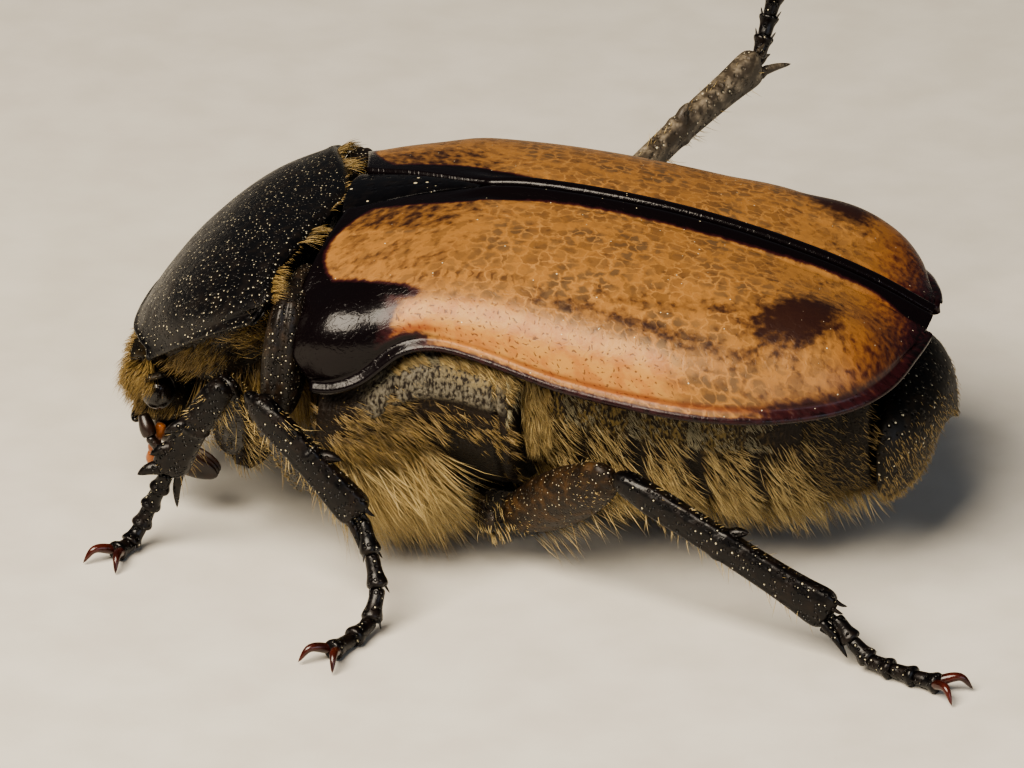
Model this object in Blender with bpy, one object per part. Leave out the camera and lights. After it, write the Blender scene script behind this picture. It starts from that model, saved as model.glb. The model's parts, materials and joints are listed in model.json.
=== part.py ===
"""A brown flower chafer, Bisallardiana gymnopleura, as a life-size still model.

Blender 4.5. The beetle faces -X with its left side at -Y, +Z up, and stands on five feet with its right
hind leg lifted. Lengths are in millimetres until the last function, which turns the meshes to metres. While
the beetle is being modelled, x = 0 is the tip of the scutellum and z = 0 is the floor. At the end it is all
moved together, so that the origin is the middle of the underside of its bounding box.
"""

import math
import random

import bmesh
import bpy
from mathutils import Matrix, Vector

MM = 0.001
WELD = 0.0001  # corners nearer than this are one
# Ways to solve a Boolean and to split its faces, tried in turn until the result is closed
SOLVERS = (("EXACT", "BEAUTY"), ("EXACT", "EAR_CLIP"), ("MANIFOLD", "BEAUTY"), ("MANIFOLD", "EAR_CLIP"))

# Driving sizes of the body
GAP = 0.25  # between neighbouring pieces
WALL = 0.5  # thickness of a wing case
ELYTRA_REAR = 8.42
ELYTRA_HALF_WIDTH = 4.2
SCUTELLUM_FRONT = -2.15
SCUTELLUM_TIP = 0.1
SCUTELLUM_HALF_WIDTH = 0.8
WAIST = 1.1  # station where the thorax meets the abdomen
THORAX_STATIONS = (-2.55, -2.3, -1.95, -1.5, -0.95, -0.4, 0.1, 0.6, WAIST)
THORAX_FRONT = [(1.0, -2.95), (3.2, -2.85), (4.8, -2.55), (5.6, -2.0)]  # height, station of its front face
THORAX_FRONT_SHARE = 0.94  # width of the front face, as a share of the first ring's
THORAX_INSET = 0.15  # the flank of the thorax inside the wing cases' margin
THORAX_DROP = 0.35  # and below it
ABDOMEN_END = 7.42
ABDOMEN_GROOVES = (2.2, 3.35, 4.45, 5.5, 6.45)
GROOVE_HALF_WIDTH = 0.14
GROOVE_DEPTH = 0.13

# Form of the cross-sections: 2 is an ellipse, more is boxier and less is a keel
BACK_ROUNDNESS = 2.6
BELLY_ROUNDNESS = 2.1

# Lines of the body, as (station, value)
BACK_LINE = [
    (-2.9, 6.15),
    (-1.2, 6.42),
    (0.6, 6.5),
    (2.3, 6.38),
    (4.1, 6.08),
    (5.9, 5.6),
    (7.2, 5.12),
    (8.42, 4.5),
]
MARGIN_WIDTH = [(-2.9, 3.7), (-1.9, 4.1), (-0.8, 4.02), (0.2, 3.95), (2.2, 4.12), (4.0, ELYTRA_HALF_WIDTH)]
MARGIN_HEIGHT = [
    (-2.9, 4.0),
    (-2.1, 3.98),
    (-1.45, 4.22),
    (-0.7, 4.82),
    (-0.15, 4.95),
    (0.7, 4.8),
    (2.2, 4.4),
    (3.9, 4.12),
    (5.6, 3.98),
    (7.0, 3.98),
    (7.8, 4.14),
    (8.42, 4.42),
]
BELLY_LINE = [
    (-3.2, 2.0),
    (-2.3, 1.45),
    (-1.2, 1.2),
    (1.1, 1.12),
    (3.0, 0.95),
    (5.0, 0.88),
    (6.4, 0.95),
    (7.5, 1.25),
]
REAR_ROUNDING_START = 4.0
REAR_ROUNDNESS = 2.3
# Front edge of a wing case, as (share of the way across, station)
ELYTRON_FRONT = [(0.0, -2.3), (0.35, -2.62), (0.7, -2.82), (0.85, -2.72), (1.0, -2.3)]
SHOULDER_BUMP = (Vector((-1.95, 3.75, 5.1)), 0.85, 0.2)  # place, radius, height
TAIL_BUMP = (Vector((6.7, 2.55, 4.9)), 1.0, 0.16)
PYGIDIUM_HALF_WIDTH = 2.45
PYGIDIUM_HALF_HEIGHT = 1.32
PYGIDIUM_HEIGHT = 2.52  # of its middle
PYGIDIUM_DEPTH = 1.05
PYGIDIUM_LEAN = 0.2  # how much further back its upper half reaches than its middle
PYGIDIUM_TAPER = 0.35  # how much narrower its lower edge is
PYGIDIUM_RINGS = [  # share of its half-sizes, share of its depth
    (0.5, 0.0),
    (1.0, 0.0),
    (0.98, 0.24),
    (0.9, 0.47),
    (0.76, 0.68),
    (0.55, 0.86),
    (0.28, 0.97),
]
SUTURE_RIDGE = 0.1
RIM_BEAD = 0.07
ELYTRON_ROWS = 18
ELYTRON_COLUMNS = 12

# The prothorax has its own frame, tipped down in front. Stations run forwards and heights up from its origin
PROTHORAX_ORIGIN = Vector((-2.6, 0.0, 3.9))
PROTHORAX_TILT = math.radians(32.0)
PRONOTUM_TOP = [(-1.4, 1.9), (-0.4, 2.25), (0.7, 2.45), (1.9, 2.33), (2.8, 2.03), (3.5, 1.68)]
PRONOTUM_WIDTH = [(-1.4, 3.5), (-0.15, 3.6), (0.8, 3.38), (1.9, 2.75), (2.8, 2.1), (3.5, 1.75)]
PRONOTUM_MARGIN = [(-1.4, 1.5), (-0.15, 1.5), (1.3, 1.5), (2.8, 1.3), (3.3, 1.25)]
PROSTERNUM = [(0.9, -1.05), (1.6, -1.2), (2.4, -0.95)]
PRONOTUM_REAR = [(0.0, -1.38), (0.35, -1.1), (0.8, -0.45), (1.0, -0.1)]  # share across, station
PRONOTUM_FRONT = [(0.0, 3.48), (0.6, 3.3), (1.0, 2.95)]
PROSTERNUM_REAR = 1.0
PROSTERNUM_FRONT = 2.3
PRONOTUM_ROUNDNESS = 2.3
FLANK_ROUNDNESS = 1.35
FLANK_SHARE = 0.84  # the flank under the rim is this share of the rim's width
FLANK_DROP = 0.3  # the flank begins this far under the rim
MESEPIMERON = (Vector((-3.1, 3.3, 4.4)), Vector((0.5, 0.74, 1.15)))  # centre on the right side, half-sizes
MESEPIMERON_REAR = -2.82  # station of the shoulder behind it

# The head hangs nearly upright, as (height, half-width, front station, back station)
HEAD_STATIONS = [
    (3.08, 0.8, -6.5, -6.14),
    (2.85, 1.12, -6.56, -5.9),
    (2.5, 1.2, -6.56, -5.5),
    (2.15, 1.14, -6.5, -5.3),
    (1.9, 1.12, -6.44, -5.35),
    (1.68, 1.08, -6.38, -5.5),
]
CLYPEUS_FRONT = -6.4
CLYPEUS_HEIGHT = 1.7
CLYPEUS_HALF_WIDTH = 1.06
CLYPEUS_CORNER = 0.1  # how far back its corners curve
CLYPEUS_NOTCH = 0.12
CLYPEUS_RIM = 0.14  # radius of its rolled edge
EYE_CENTRE = Vector((-5.86, 1.38, 2.62))
EYE_RADII = Vector((0.42, 0.42, 0.46))
EYE_FLAT = 1.4  # distance of its inner face from the middle
MOUTHPARTS = (Vector((-5.86, 0, 1.25)), Vector((0.38, 0.72, 0.38)))  # centre and half-sizes

# Feelers and palps, on the right side
ANTENNA_STALK = [(-6.12, 1.4, 2.0), (-5.98, 1.55, 1.6), (-5.6, 1.5, 1.3)]
ANTENNA_RADII = [0.2, 0.27, 0.28, 0.24, 0.25, 0.21, 0.25, 0.21, 0.25, 0.21, 0.2]
CLUB_CENTRE = Vector((-5.2, 1.48, 1.12))
CLUB_SPACING = 0.17
CLUB_LEAF = Vector((0.58, 0.14, 0.27))  # half-sizes of one leaf
CLUB_TURNS = (12, 20)  # degrees between the leaves, degrees that they hang down
PALP = [(-5.85, 1.02, 1.28), (-6.0, 1.08, 1.02), (-6.05, 0.95, 0.78)]
PALP_RADII = [0.22, 0.25, 0.22, 0.26, 0.24, 0.12]

# Joints of the legs, from the body outwards: femur base, knee, ankle, then the tarsus as far as its claws
LEFT_LEGS = {
    "front": [(-4.45, -1.6, 1.5), (-4.07, -3.35, 3.75), (-5.27, -3.05, 1.68)],
    "mid": [(-2.75, -2.1, 1.05), (-3.42, -4.35, 3.95), (-1.33, -4.75, 1.9)],
    "hind": [(0.95, -2.45, 0.9), (3.18, -4.35, 2.93), (7.35, -5.25, 0.92)],
}
RIGHT_LEGS = {
    "front": [(-4.45, 1.6, 1.5), (-4.2, 3.4, 3.65), (-5.55, 3.4, 1.65)],
    "mid": [(-2.75, 2.1, 1.05), (-3.2, 4.4, 3.85), (-1.55, 5.2, 1.75)],
    "hind": [(0.95, 2.45, 0.9), (1.4, 5.15, 3.95), (3.88, 8.9, 5.62)],
}
LEFT_FEET = {
    "front": [(-5.5, -2.97, 1.2), (-5.78, -2.95, 0.62), (-5.95, -3.1, 0.22), (-6.2, -3.6, 0.18)],
    "mid": [(-0.98, -5.1, 1.2), (-0.89, -5.4, 0.62), (-1.02, -5.8, 0.22), (-1.5, -6.85, 0.19)],
    "hind": [(7.68, -5.38, 0.55), (8.0, -5.55, 0.26), (8.6, -5.85, 0.19), (9.4, -6.2, 0.19)],
}
RIGHT_FEET = {
    "front": [(-5.78, 3.5, 1.15), (-6.05, 3.6, 0.6), (-6.25, 3.75, 0.22), (-6.6, 4.15, 0.18)],
    "mid": [(-1.3, 5.6, 1.15), (-1.2, 5.95, 0.6), (-1.27, 6.3, 0.22), (-1.5, 7.2, 0.19)],
    "hind": [(3.97, 9.2, 6.15), (4.08, 9.45, 6.62), (4.2, 9.55, 7.05), (4.42, 9.7, 7.55)],
}
LEG_SIZES = {  # femur's half-depth, tibia's half-depth at the ankle, teeth on the tibia's outer edge
    "front": (0.42, 0.38, (0.5, 0.75, 0.97)),
    "mid": (0.42, 0.36, (0.55,)),
    "hind": (0.54, 0.47, (0.5,)),
}
COXAE = {  # centre on the right side, then half-sizes
    "front": (Vector((-4.2, 1.0, 1.75)), Vector((0.6, 0.75, 0.85))),
    "mid": (Vector((-2.3, 1.45, 1.2)), Vector((0.6, 0.85, 0.6))),
    "hind": (Vector((0.75, 1.75, 1.05)), Vector((0.6, 1.35, 0.5))),
}
COXA_ROOM = 0.66  # radius of the room that each coxa leaves round its femur's base
LEG_HALF_THICKNESS = 0.27
LEG_LEAST = 0.2  # least half-thickness of a femur
FEMUR_PROFILE = [0.5, 0.8, 0.95, 1.0, 1.0, 0.94, 0.8, 0.5]  # shares of its half-depth, from base to knee
TIBIA_PROFILE = [0.2, 0.26, 0.28, 0.27, 0.27, 0.28, 0.29, 0.32]  # half-depths down to its flare
KNEE_GAP = 0.12  # the femur and the tibia each stop this far from the middle of the knee

# Rows of hair: degrees under the side, first and last station, count, length and lie
LOCK_WIDTH = 0.62
LOCK_DEPTH = 0.24
LOCK_ROOT = 0.3  # how deep each lock is sunk
TIP_HEIGHT = 0.22
THORAX_COAT = [
    (14, -2.1, 0.8, 7, 0.75, (0.85, 0.15, -0.5)),
    (32, -2.3, 0.85, 8, 0.9, (0.75, 0.25, -0.65)),
    (50, -2.2, 0.85, 8, 0.95, (0.7, 0.2, -0.75)),
    (68, -1.8, 0.75, 7, 1.0, (0.6, 0.1, -0.8)),
    (84, -1.6, 0.7, 6, 0.95, (0.6, 0.05, -0.8)),
]
ABDOMEN_COAT = [
    (14, 1.75, 6.8, 8, 0.65, (0.75, 0.25, -0.6)),
    (34, 1.78, 6.75, 7, 0.72, (0.7, 0.25, -0.7)),
    (54, 1.75, 6.7, 7, 0.75, (0.75, 0.15, -0.65)),
    (76, 1.9, 6.5, 5, 0.75, (0.8, 0.1, -0.6)),
]
CHEST_COAT = [  # by the share of the way to the front
    (14, 0.5, 0.95, 4, 0.6, (-0.05, 0.15, -0.95)),
    (34, 0.6, 0.95, 3, 0.6, (0.1, 0.1, -0.95)),
    (60, 0.75, 0.98, 2, 0.55, (0.1, 0.1, -0.95)),
]
HEAD_CORE = (Vector((-5.95, 0.6, 2.8)), Vector((-5.9, 0.6, 1.3)), 0.6)
ANTENNA_CORE = (Vector((-6.05, 1.5, 1.85)), Vector((-5.2, 1.48, 1.12)), 0.4)
TARSUS_RADIUS = 0.25
TARSUS_SEGMENTS = 5
CLAW_LENGTH = 0.6
SPUR_LENGTH = 0.75

# Colours are linear red, green and blue, then roughness
BLACK = ((0.012, 0.009, 0.008), 0.3)
BROWN_BLACK = ((0.035, 0.02, 0.012), 0.4)
OCHRE = ((0.36, 0.15, 0.035), 0.32)
STRAW = ((0.22, 0.15, 0.06), 0.6)


def curve(table, place):
    """Value of a table at a place, on a smooth curve through its points."""
    if place <= table[0][0]:
        return table[0][1]
    if place >= table[-1][0]:
        return table[-1][1]
    index = next(i for i in range(len(table) - 1) if place <= table[i + 1][0])
    (x0, y0), (x1, y1) = table[index], table[index + 1]

    def slope(i):
        low, high = table[max(i - 1, 0)], table[min(i + 1, len(table) - 1)]
        return (high[1] - low[1]) / (high[0] - low[0])

    span = x1 - x0
    t = (place - x0) / span
    a = 2 * t**3 - 3 * t**2 + 1
    b = t**3 - 2 * t**2 + t
    c = -2 * t**3 + 3 * t**2
    d = t**3 - t**2
    return a * y0 + b * span * slope(index) + c * y1 + d * span * slope(index + 1)


def rounded(angle, roundness):
    """Cosine and sine of an angle, drawn out to a superellipse, with their signs kept."""
    c, s = math.cos(angle), math.sin(angle)
    power = 2 / roundness
    return math.copysign(abs(c) ** power, c), math.copysign(abs(s) ** power, s)


def margin_width(station):
    """Half-width of the wing cases, which round off behind."""
    if station < REAR_ROUNDING_START:
        return curve(MARGIN_WIDTH, station)
    share = (station - REAR_ROUNDING_START) / (ELYTRA_REAR - REAR_ROUNDING_START)
    return ELYTRA_HALF_WIDTH * max(0.0, 1 - share**REAR_ROUNDNESS) ** (1 / REAR_ROUNDNESS)


def back_point(station, angle, inset=0.0):
    """Point on the back: angle 0 is the right margin, a right angle the middle and 180 degrees the left."""
    across, upward = rounded(angle, BACK_ROUNDNESS)
    width = max(margin_width(station) - inset, 0.1)
    margin = curve(MARGIN_HEIGHT, station)
    top = curve(BACK_LINE, station) - inset
    return Vector((station, width * across, margin + (top - margin) * upward))


def loft(bm, rings, capped=True):
    """Skin a row of closed rings that have the same number of points."""
    rows = [[bm.verts.new(point) for point in ring] for ring in rings]
    count = len(rows[0])
    for low, high in zip(rows, rows[1:]):
        for i in range(count):
            j = (i + 1) % count
            bm.faces.new((low[i], low[j], high[j], high[i]))
    if capped:
        for row in (rows[0], rows[-1]):
            middle = bm.verts.new(sum((v.co for v in row), Vector()) / count)
            for i in range(count):
                bm.faces.new((row[i], row[(i + 1) % count], middle))
    return rows


def tube(path, depths, widths, depth_axis, sides=10):
    """A closed limb along a path: depths are along depth_axis and widths across it."""
    bm = bmesh.new()
    rings = []
    for i, point in enumerate(path):
        ahead = path[min(i + 1, len(path) - 1)]
        behind = path[max(i - 1, 0)]
        tangent = (ahead - behind).normalized()
        side = tangent.cross(depth_axis).normalized()
        deep = side.cross(tangent).normalized()
        ring = []
        for k in range(sides):
            angle = 2 * math.pi * k / sides
            ring.append(point + deep * depths[i] * math.cos(angle) + side * widths[i] * math.sin(angle))
        rings.append(ring)
    loft(bm, rings)
    bmesh.ops.recalc_face_normals(bm, faces=bm.faces)
    return bm


def along(points, steps):
    """Points spaced evenly on a smooth curve through the given ones."""
    lengths = [0.0]
    for a, b in zip(points, points[1:]):
        lengths.append(lengths[-1] + (Vector(b) - Vector(a)).length)
    tables = [[(s, p[axis]) for s, p in zip(lengths, points)] for axis in range(3)]
    return [Vector([curve(table, lengths[-1] * k / steps) for table in tables]) for k in range(steps + 1)]


def ellipsoid(centre, radii, turn=None, segments=12, rings=8):
    bm = bmesh.new()
    bmesh.ops.create_uvsphere(bm, u_segments=segments, v_segments=rings, radius=1.0)
    placing = Matrix.Translation(centre) @ (turn or Matrix.Identity(4)) @ Matrix.Diagonal((*radii, 1.0))
    bmesh.ops.transform(bm, matrix=placing, verts=bm.verts)
    return bm


def spike(root, tip, radius, bend=Vector((0, 0, 0)), sides=5):
    """A curved cone, for a claw, a spur or a tooth."""
    middle = (root + tip) / 2 + bend
    path = along([root, middle, tip], 3)
    axis = Vector((0.13, 0.21, 0.97))
    if abs((tip - root).normalized().dot(axis)) > 0.8:
        axis = Vector((0.93, 0.31, 0.2))
    radii = [radius, radius * 0.86, radius * 0.55, radius * 0.1]
    return tube(path, radii, radii, axis, sides)


def as_object(bm, name):
    mesh = bpy.data.meshes.new(name)
    bm.to_mesh(mesh)
    bm.free()
    thing = bpy.data.objects.new(name, mesh)
    bpy.context.scene.collection.objects.link(thing)
    return thing


def largest_surface(bm):
    """Keep the largest closed surface, by volume, and drop the rest."""
    unseen = set(bm.verts)
    shells = []
    while unseen:
        front = [unseen.pop()]
        shell = set(front)
        while front:
            vert = front.pop()
            for edge in vert.link_edges:
                other = edge.other_vert(vert)
                if other in unseen:
                    unseen.discard(other)
                    shell.add(other)
                    front.append(other)
        shells.append(shell)

    def size(shell):
        faces = {face for vert in shell for face in vert.link_faces}
        total = 0.0
        for face in faces:
            corners = [v.co for v in face.verts]
            for a, b in zip(corners[1:], corners[2:]):
                total += corners[0].dot(a.cross(b)) / 6
        return abs(total)

    keep = max(shells, key=size)
    bmesh.ops.delete(bm, geom=[v for v in bm.verts if v not in keep], context="VERTS")


def is_closed(bm):
    return all(len(edge.link_faces) == 2 for edge in bm.edges)


def combine(body, pieces, operation):
    """One Boolean of a body with all the pieces, which must each be closed."""
    base = as_object(body, "base")
    group = bpy.data.collections.new("pieces")
    bpy.context.scene.collection.children.link(group)
    for piece in pieces:
        thing = as_object(piece, "piece")
        bpy.context.scene.collection.objects.unlink(thing)
        group.objects.link(thing)
    boolean = base.modifiers.new("combine", "BOOLEAN")
    boolean.operation = operation
    boolean.operand_type = "COLLECTION"
    boolean.collection = group
    for solver, corners in SOLVERS:
        boolean.solver = solver
        view = bpy.context.evaluated_depsgraph_get()
        result = bmesh.new()
        result.from_mesh(base.evaluated_get(view).to_mesh())
        bmesh.ops.triangulate(result, faces=result.faces, ngon_method=corners)
        bmesh.ops.remove_doubles(result, verts=result.verts, dist=WELD)
        bmesh.ops.dissolve_degenerate(result, edges=result.edges, dist=WELD)
        largest_surface(result)
        if is_closed(result):
            break
    for thing in list(group.objects):
        bpy.data.objects.remove(thing)
    bpy.data.collections.remove(group)
    bpy.data.objects.remove(base)
    return result


def slice_off(bm, place, normal):
    """Cut away what lies on the far side of a plane, and close the cut with a flat face."""
    whole = list(bm.verts) + list(bm.edges) + list(bm.faces)
    cut = bmesh.ops.bisect_plane(bm, geom=whole, plane_co=place, plane_no=normal, clear_outer=True, dist=WELD)
    rim = [edge for edge in cut["geom_cut"] if isinstance(edge, bmesh.types.BMEdge)]
    bmesh.ops.holes_fill(bm, edges=rim, sides=0)


def finish(name, bm, look):
    """Add a finished node, with its faces pointing outwards."""
    bmesh.ops.recalc_face_normals(bm, faces=bm.faces)
    thing = as_object(bm, name)
    thing.data.shade_smooth()
    thing.data.set_sharp_from_angle(angle=math.radians(50))
    colour, roughness = look
    material = bpy.data.materials.new(name)
    material.use_nodes = True
    shader = material.node_tree.nodes["Principled BSDF"]
    shader.inputs["Base Color"].default_value = (*colour, 1.0)
    shader.inputs["Roughness"].default_value = roughness
    thing.data.materials.append(material)
    return thing


# Wing cases and scutellum


def scutellum_edge(station):
    """Half-width of the scutellum at a station, nothing behind its tip."""
    share = (SCUTELLUM_TIP - station) / (SCUTELLUM_TIP - SCUTELLUM_FRONT)
    return SCUTELLUM_HALF_WIDTH * max(0.0, share)


def bump(point, spot):
    centre, radius, height = spot
    reach = (point - centre).length / radius
    return height * max(0.0, 1 - reach * reach) ** 2


def elytron_point(row, column, inner=False):
    """Point of the right wing case's outer sheet, or of its inner one, which stops short behind."""
    u = row / ELYTRON_ROWS
    reach = 0.35 * u + 0.65 * math.sin(u * math.pi / 2)
    share = column / ELYTRON_COLUMNS
    front = curve(ELYTRON_FRONT, share)
    station = front + (ELYTRA_REAR - 0.06 - front) * reach
    edge = GAP / 2 + scutellum_edge(station) + (GAP / 2 if station < SCUTELLUM_TIP else 0)
    inset = 0.0
    if inner:
        inset = WALL
        station -= 0.3 * u**6
    start = math.acos(min(1.0, edge / (margin_width(station) - inset)) ** (BACK_ROUNDNESS / 2))
    point = back_point(station, start * (1 - share), inset)
    if not inner:
        outward = Vector((0, point.y, 2.0 * (point.z - 3.2))).normalized()
        lift = bump(point, SHOULDER_BUMP) + bump(point, TAIL_BUMP)
        if column == ELYTRON_COLUMNS:
            lift += RIM_BEAD
        if column == 0 and station > SCUTELLUM_TIP:
            lift += SUTURE_RIDGE
        point += outward * lift
    return point


def elytron(name, side):
    """A wing case: an outer and an inner sheet, joined round their edges."""
    bm = bmesh.new()
    sheets = []
    for inner in (False, True):
        sheet = []
        for row in range(ELYTRON_ROWS + 1):
            line = []
            for column in range(ELYTRON_COLUMNS + 1):
                point = elytron_point(row, column, inner)
                line.append(bm.verts.new((point.x, side * point.y, point.z)))
            sheet.append(line)
        sheets.append(sheet)
        for low, high in zip(sheet, sheet[1:]):
            for a, b, c, d in zip(low, low[1:], high[1:], high):
                bm.faces.new((a, b, c, d))
    outlines = []
    for sheet in sheets:
        outline = list(sheet[0])
        outline += [line[-1] for line in sheet[1:]]
        outline += sheet[-1][-2::-1]
        outline += [line[0] for line in sheet[-2:0:-1]]
        outlines.append(outline)
    count = len(outlines[0])
    for i in range(count):
        j = (i + 1) % count
        bm.faces.new((outlines[0][i], outlines[0][j], outlines[1][j], outlines[1][i]))
    bmesh.ops.triangulate(bm, faces=bm.faces)
    return finish(name, bm, OCHRE)


def scutellum():
    bm = bmesh.new()
    rings = []
    for k in range(7):
        station = SCUTELLUM_FRONT + (SCUTELLUM_TIP - 0.12 - SCUTELLUM_FRONT) * k / 6
        half = scutellum_edge(station) - 0.02
        top = curve(BACK_LINE, station)
        ring = [Vector((station, half * s, top - 0.05 * s * s)) for s in (-1, -0.5, 0, 0.5, 1)]
        ring += [Vector((station, half * s, top - WALL)) for s in (1, 0, -1)]
        rings.append(ring)
    loft(bm, rings)
    return finish("scutellum", bm, BLACK)


# Thorax and abdomen


def torso_ring(station, flank_inset, flank_drop, grow=0.0, belly_lift=0.0):
    """Closed ring round the body: over the back under the wing cases, then round the belly."""
    under = WALL + GAP - grow
    ring = [back_point(station, math.pi * k / 12, under) for k in range(13)]
    margin = curve(MARGIN_HEIGHT, station)
    half = margin_width(station) - flank_inset + grow
    side_height = margin - flank_drop
    bottom = curve(BELLY_LINE, station) - grow + belly_lift
    if flank_drop > 0:
        ring.append(Vector((station, ring[-1].y, margin - flank_drop + 0.1 + grow)))
    for k in range(15):
        across, upward = rounded(math.pi + math.pi * k / 14, BELLY_ROUNDNESS)
        z = side_height + (side_height - bottom) * upward
        ring.append(Vector((station, half * across, z)))
    if flank_drop > 0:
        ring.append(Vector((station, ring[0].y, margin - flank_drop + 0.1 + grow)))
    else:
        ring = ring[:13] + ring[14:-1]
    return ring


def front_face(ring, grow):
    """The thorax's first ring, leaning to fit behind the prothorax and a little smaller than the next one."""
    face = []
    for p in ring:
        height = p.z - 0.12 if p.z > 4.5 else p.z + 0.1
        face.append(Vector((curve(THORAX_FRONT, p.z) - grow, p.y * THORAX_FRONT_SHARE, height)))
    return face


def thorax_body(grow=0.0):
    """Middle and hind thorax in one."""
    bm = bmesh.new()
    rings = [torso_ring(station, THORAX_INSET, THORAX_DROP, grow) for station in THORAX_STATIONS]
    rings[0] = front_face(rings[0], grow)
    rings[-1] = [p + Vector((grow, 0, 0)) for p in rings[-1]]
    loft(bm, rings)
    bmesh.ops.recalc_face_normals(bm, faces=bm.faces)
    return bm


def abdomen_body(grow=0.0):
    """The abdomen, with a groove between each pair of its rings below the wing cases."""
    bm = bmesh.new()
    rings = []
    stations = [(WAIST + GAP - grow, 0.0)]
    for groove in ABDOMEN_GROOVES:
        for edge in (-1, 0, 1):
            stations.append((groove + GROOVE_HALF_WIDTH * edge, 0.0 if edge else GROOVE_DEPTH))
    stations += [(7.0, 0.0), (ABDOMEN_END + grow, 0.05)]
    for station, depth in stations:
        inner = station if station < ABDOMEN_END else ABDOMEN_END
        ring = torso_ring(inner, WALL + GAP + depth, 0.0, grow, depth)
        rings.append([Vector((station, p.y, p.z)) for p in ring])
    loft(bm, rings)
    bmesh.ops.recalc_face_normals(bm, faces=bm.faces)
    return bm


def pygidium():
    """The last plate of the back, a convex shield that closes the body behind."""
    bm = bmesh.new()
    rings = []
    for share, bulge in PYGIDIUM_RINGS:
        ring = []
        for k in range(24):
            across, upward = rounded(2 * math.pi * k / 24, PRONOTUM_ROUNDNESS)
            half = PYGIDIUM_HALF_WIDTH - PYGIDIUM_TAPER * (1 - upward) / 2
            x = ABDOMEN_END + GAP + (PYGIDIUM_DEPTH + PYGIDIUM_LEAN * upward) * bulge
            z = PYGIDIUM_HEIGHT + PYGIDIUM_HALF_HEIGHT * share * upward
            ring.append(Vector((x, half * share * across, z)))
        rings.append(ring)
    loft(bm, rings)
    return finish("pygidium", bm, BROWN_BLACK)


# Coat


def keep_clear_lines():
    """Lines and radii of the legs, the head and the antennae, which the coat stays clear of."""
    lines = []
    for side, legs, feet in ((-1, LEFT_LEGS, LEFT_FEET), (1, RIGHT_LEGS, RIGHT_FEET)):
        mirrored = Vector((1, side, 1))
        for low, high, radius in (HEAD_CORE, ANTENNA_CORE):
            lines.append((low * mirrored, high * mirrored, radius))
        for pair, joints in legs.items():
            centre, radii = COXAE[pair]
            reach = Vector((0, max(radii.y - radii.z, 0.0), 0))
            place = centre * mirrored
            lines.append((place - reach, place + reach, radii.z))
            base, knee, ankle = [Vector(p) for p in joints]
            lines.append((base, knee, LEG_SIZES[pair][0]))
            lines.append((knee, ankle, LEG_SIZES[pair][1]))
            lines.append((ankle, Vector(feet[pair][2]), TARSUS_RADIUS))
    return lines


def is_clear(path, across, lines):
    """Whether a lock, at its middle and both edges, keeps a gap to every line's surface."""
    points = [p + across * LOCK_WIDTH / 2 * edge for p in path[1:] for edge in (-1, 0, 1)]
    for low, high, radius in lines:
        span = high - low
        for point in points:
            share = (point - low).dot(span) / max(span.length_squared, 1e-6)
            nearest = low + span * min(1.0, max(0.0, share))
            if (point - nearest).length < radius + GAP + LOCK_DEPTH / 2:
                return False
    return True


def flank_surface(side, inset, drop):
    """A function for the place on the body below the wing cases, by station and degrees under the side."""

    def place(station, degrees):
        across, downward = rounded(math.radians(degrees), BELLY_ROUNDNESS)
        half = margin_width(station) - inset
        top = curve(MARGIN_HEIGHT, station) - drop
        bottom = curve(BELLY_LINE, station)
        return Vector((station, side * half * across, top - (top - bottom) * downward))

    return place


def chest_surface(side):
    """The same for the underside of the prothorax, by reach and degrees under the rim."""

    def place(reach, degrees):
        angle = 2 * math.pi - math.radians(degrees) if side > 0 else math.pi + math.radians(degrees)
        return prothorax_point(reach, angle)

    return place


def lock(path, normal):
    """One flat lock, broad at its root and tapered to a point."""
    bm = bmesh.new()
    rings = []
    for i, (depth, width) in enumerate(((1.0, 0.9), (1.0, 1.0), (0.8, 0.75))):
        tangent = (path[i + 1] - path[i]).normalized()
        side = tangent.cross(normal).normalized() * LOCK_WIDTH * width / 2
        deep = side.cross(tangent).normalized() * LOCK_DEPTH * depth / 2
        rings.append([bm.verts.new(path[i] + offset) for offset in (side, deep, -side, -deep)])
    tip = bm.verts.new(path[-1])
    for low, high in zip(rings, rings[1:]):
        for k in range(4):
            bm.faces.new((low[k], low[k - 1], high[k - 1], high[k]))
    for k in range(4):
        bm.faces.new((rings[-1][k], rings[-1][k - 1], tip))
    bm.faces.new(rings[0])
    bmesh.ops.recalc_face_normals(bm, faces=bm.faces)
    return bm


def lock_row(surface, row, lines, dice):
    """The locks of one row that are clear of the legs."""
    degrees, first, last, count, length, lie = row
    locks = []
    for k in range(count):
        station = first + (last - first) / (count - 1) * (k + dice.uniform(-0.12, 0.12))
        root = surface(station, degrees)
        along_body = surface(station + 0.02, degrees) - root
        round_body = surface(station, degrees + 1.0) - root
        normal = along_body.cross(round_body).normalized()
        if normal.dot(root - Vector((root.x, 0, 4.0))) < 0:
            normal = -normal
        heading = Vector((lie[0], math.copysign(lie[1], root.y), lie[2])).normalized()
        size = length * dice.uniform(0.85, 1.12)
        path = [root - normal * LOCK_ROOT, root + (normal * 0.5 + heading * 0.5) * 0.32 * size]
        path.append(path[-1] + (normal * 0.2 + heading * 0.8) * 0.36 * size)
        path.append(path[-1] + (heading - normal * 0.1) * 0.36 * size)
        for point in path:
            point.z = max(point.z, TIP_HEIGHT)
        if is_clear(path, heading.cross(normal).normalized(), lines):
            locks.append(lock(path, normal))
    return locks


def coated(name, body, rows, surfaces, look):
    """A body with rows of locks on both sides, fused to it."""
    dice = random.Random(name)
    lines = keep_clear_lines()
    locks = []
    for surface in surfaces:
        for row in rows:
            locks += lock_row(surface, row, lines, dice)
    return finish(name, combine(body, locks, "UNION"), look)


# Prothorax


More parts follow.
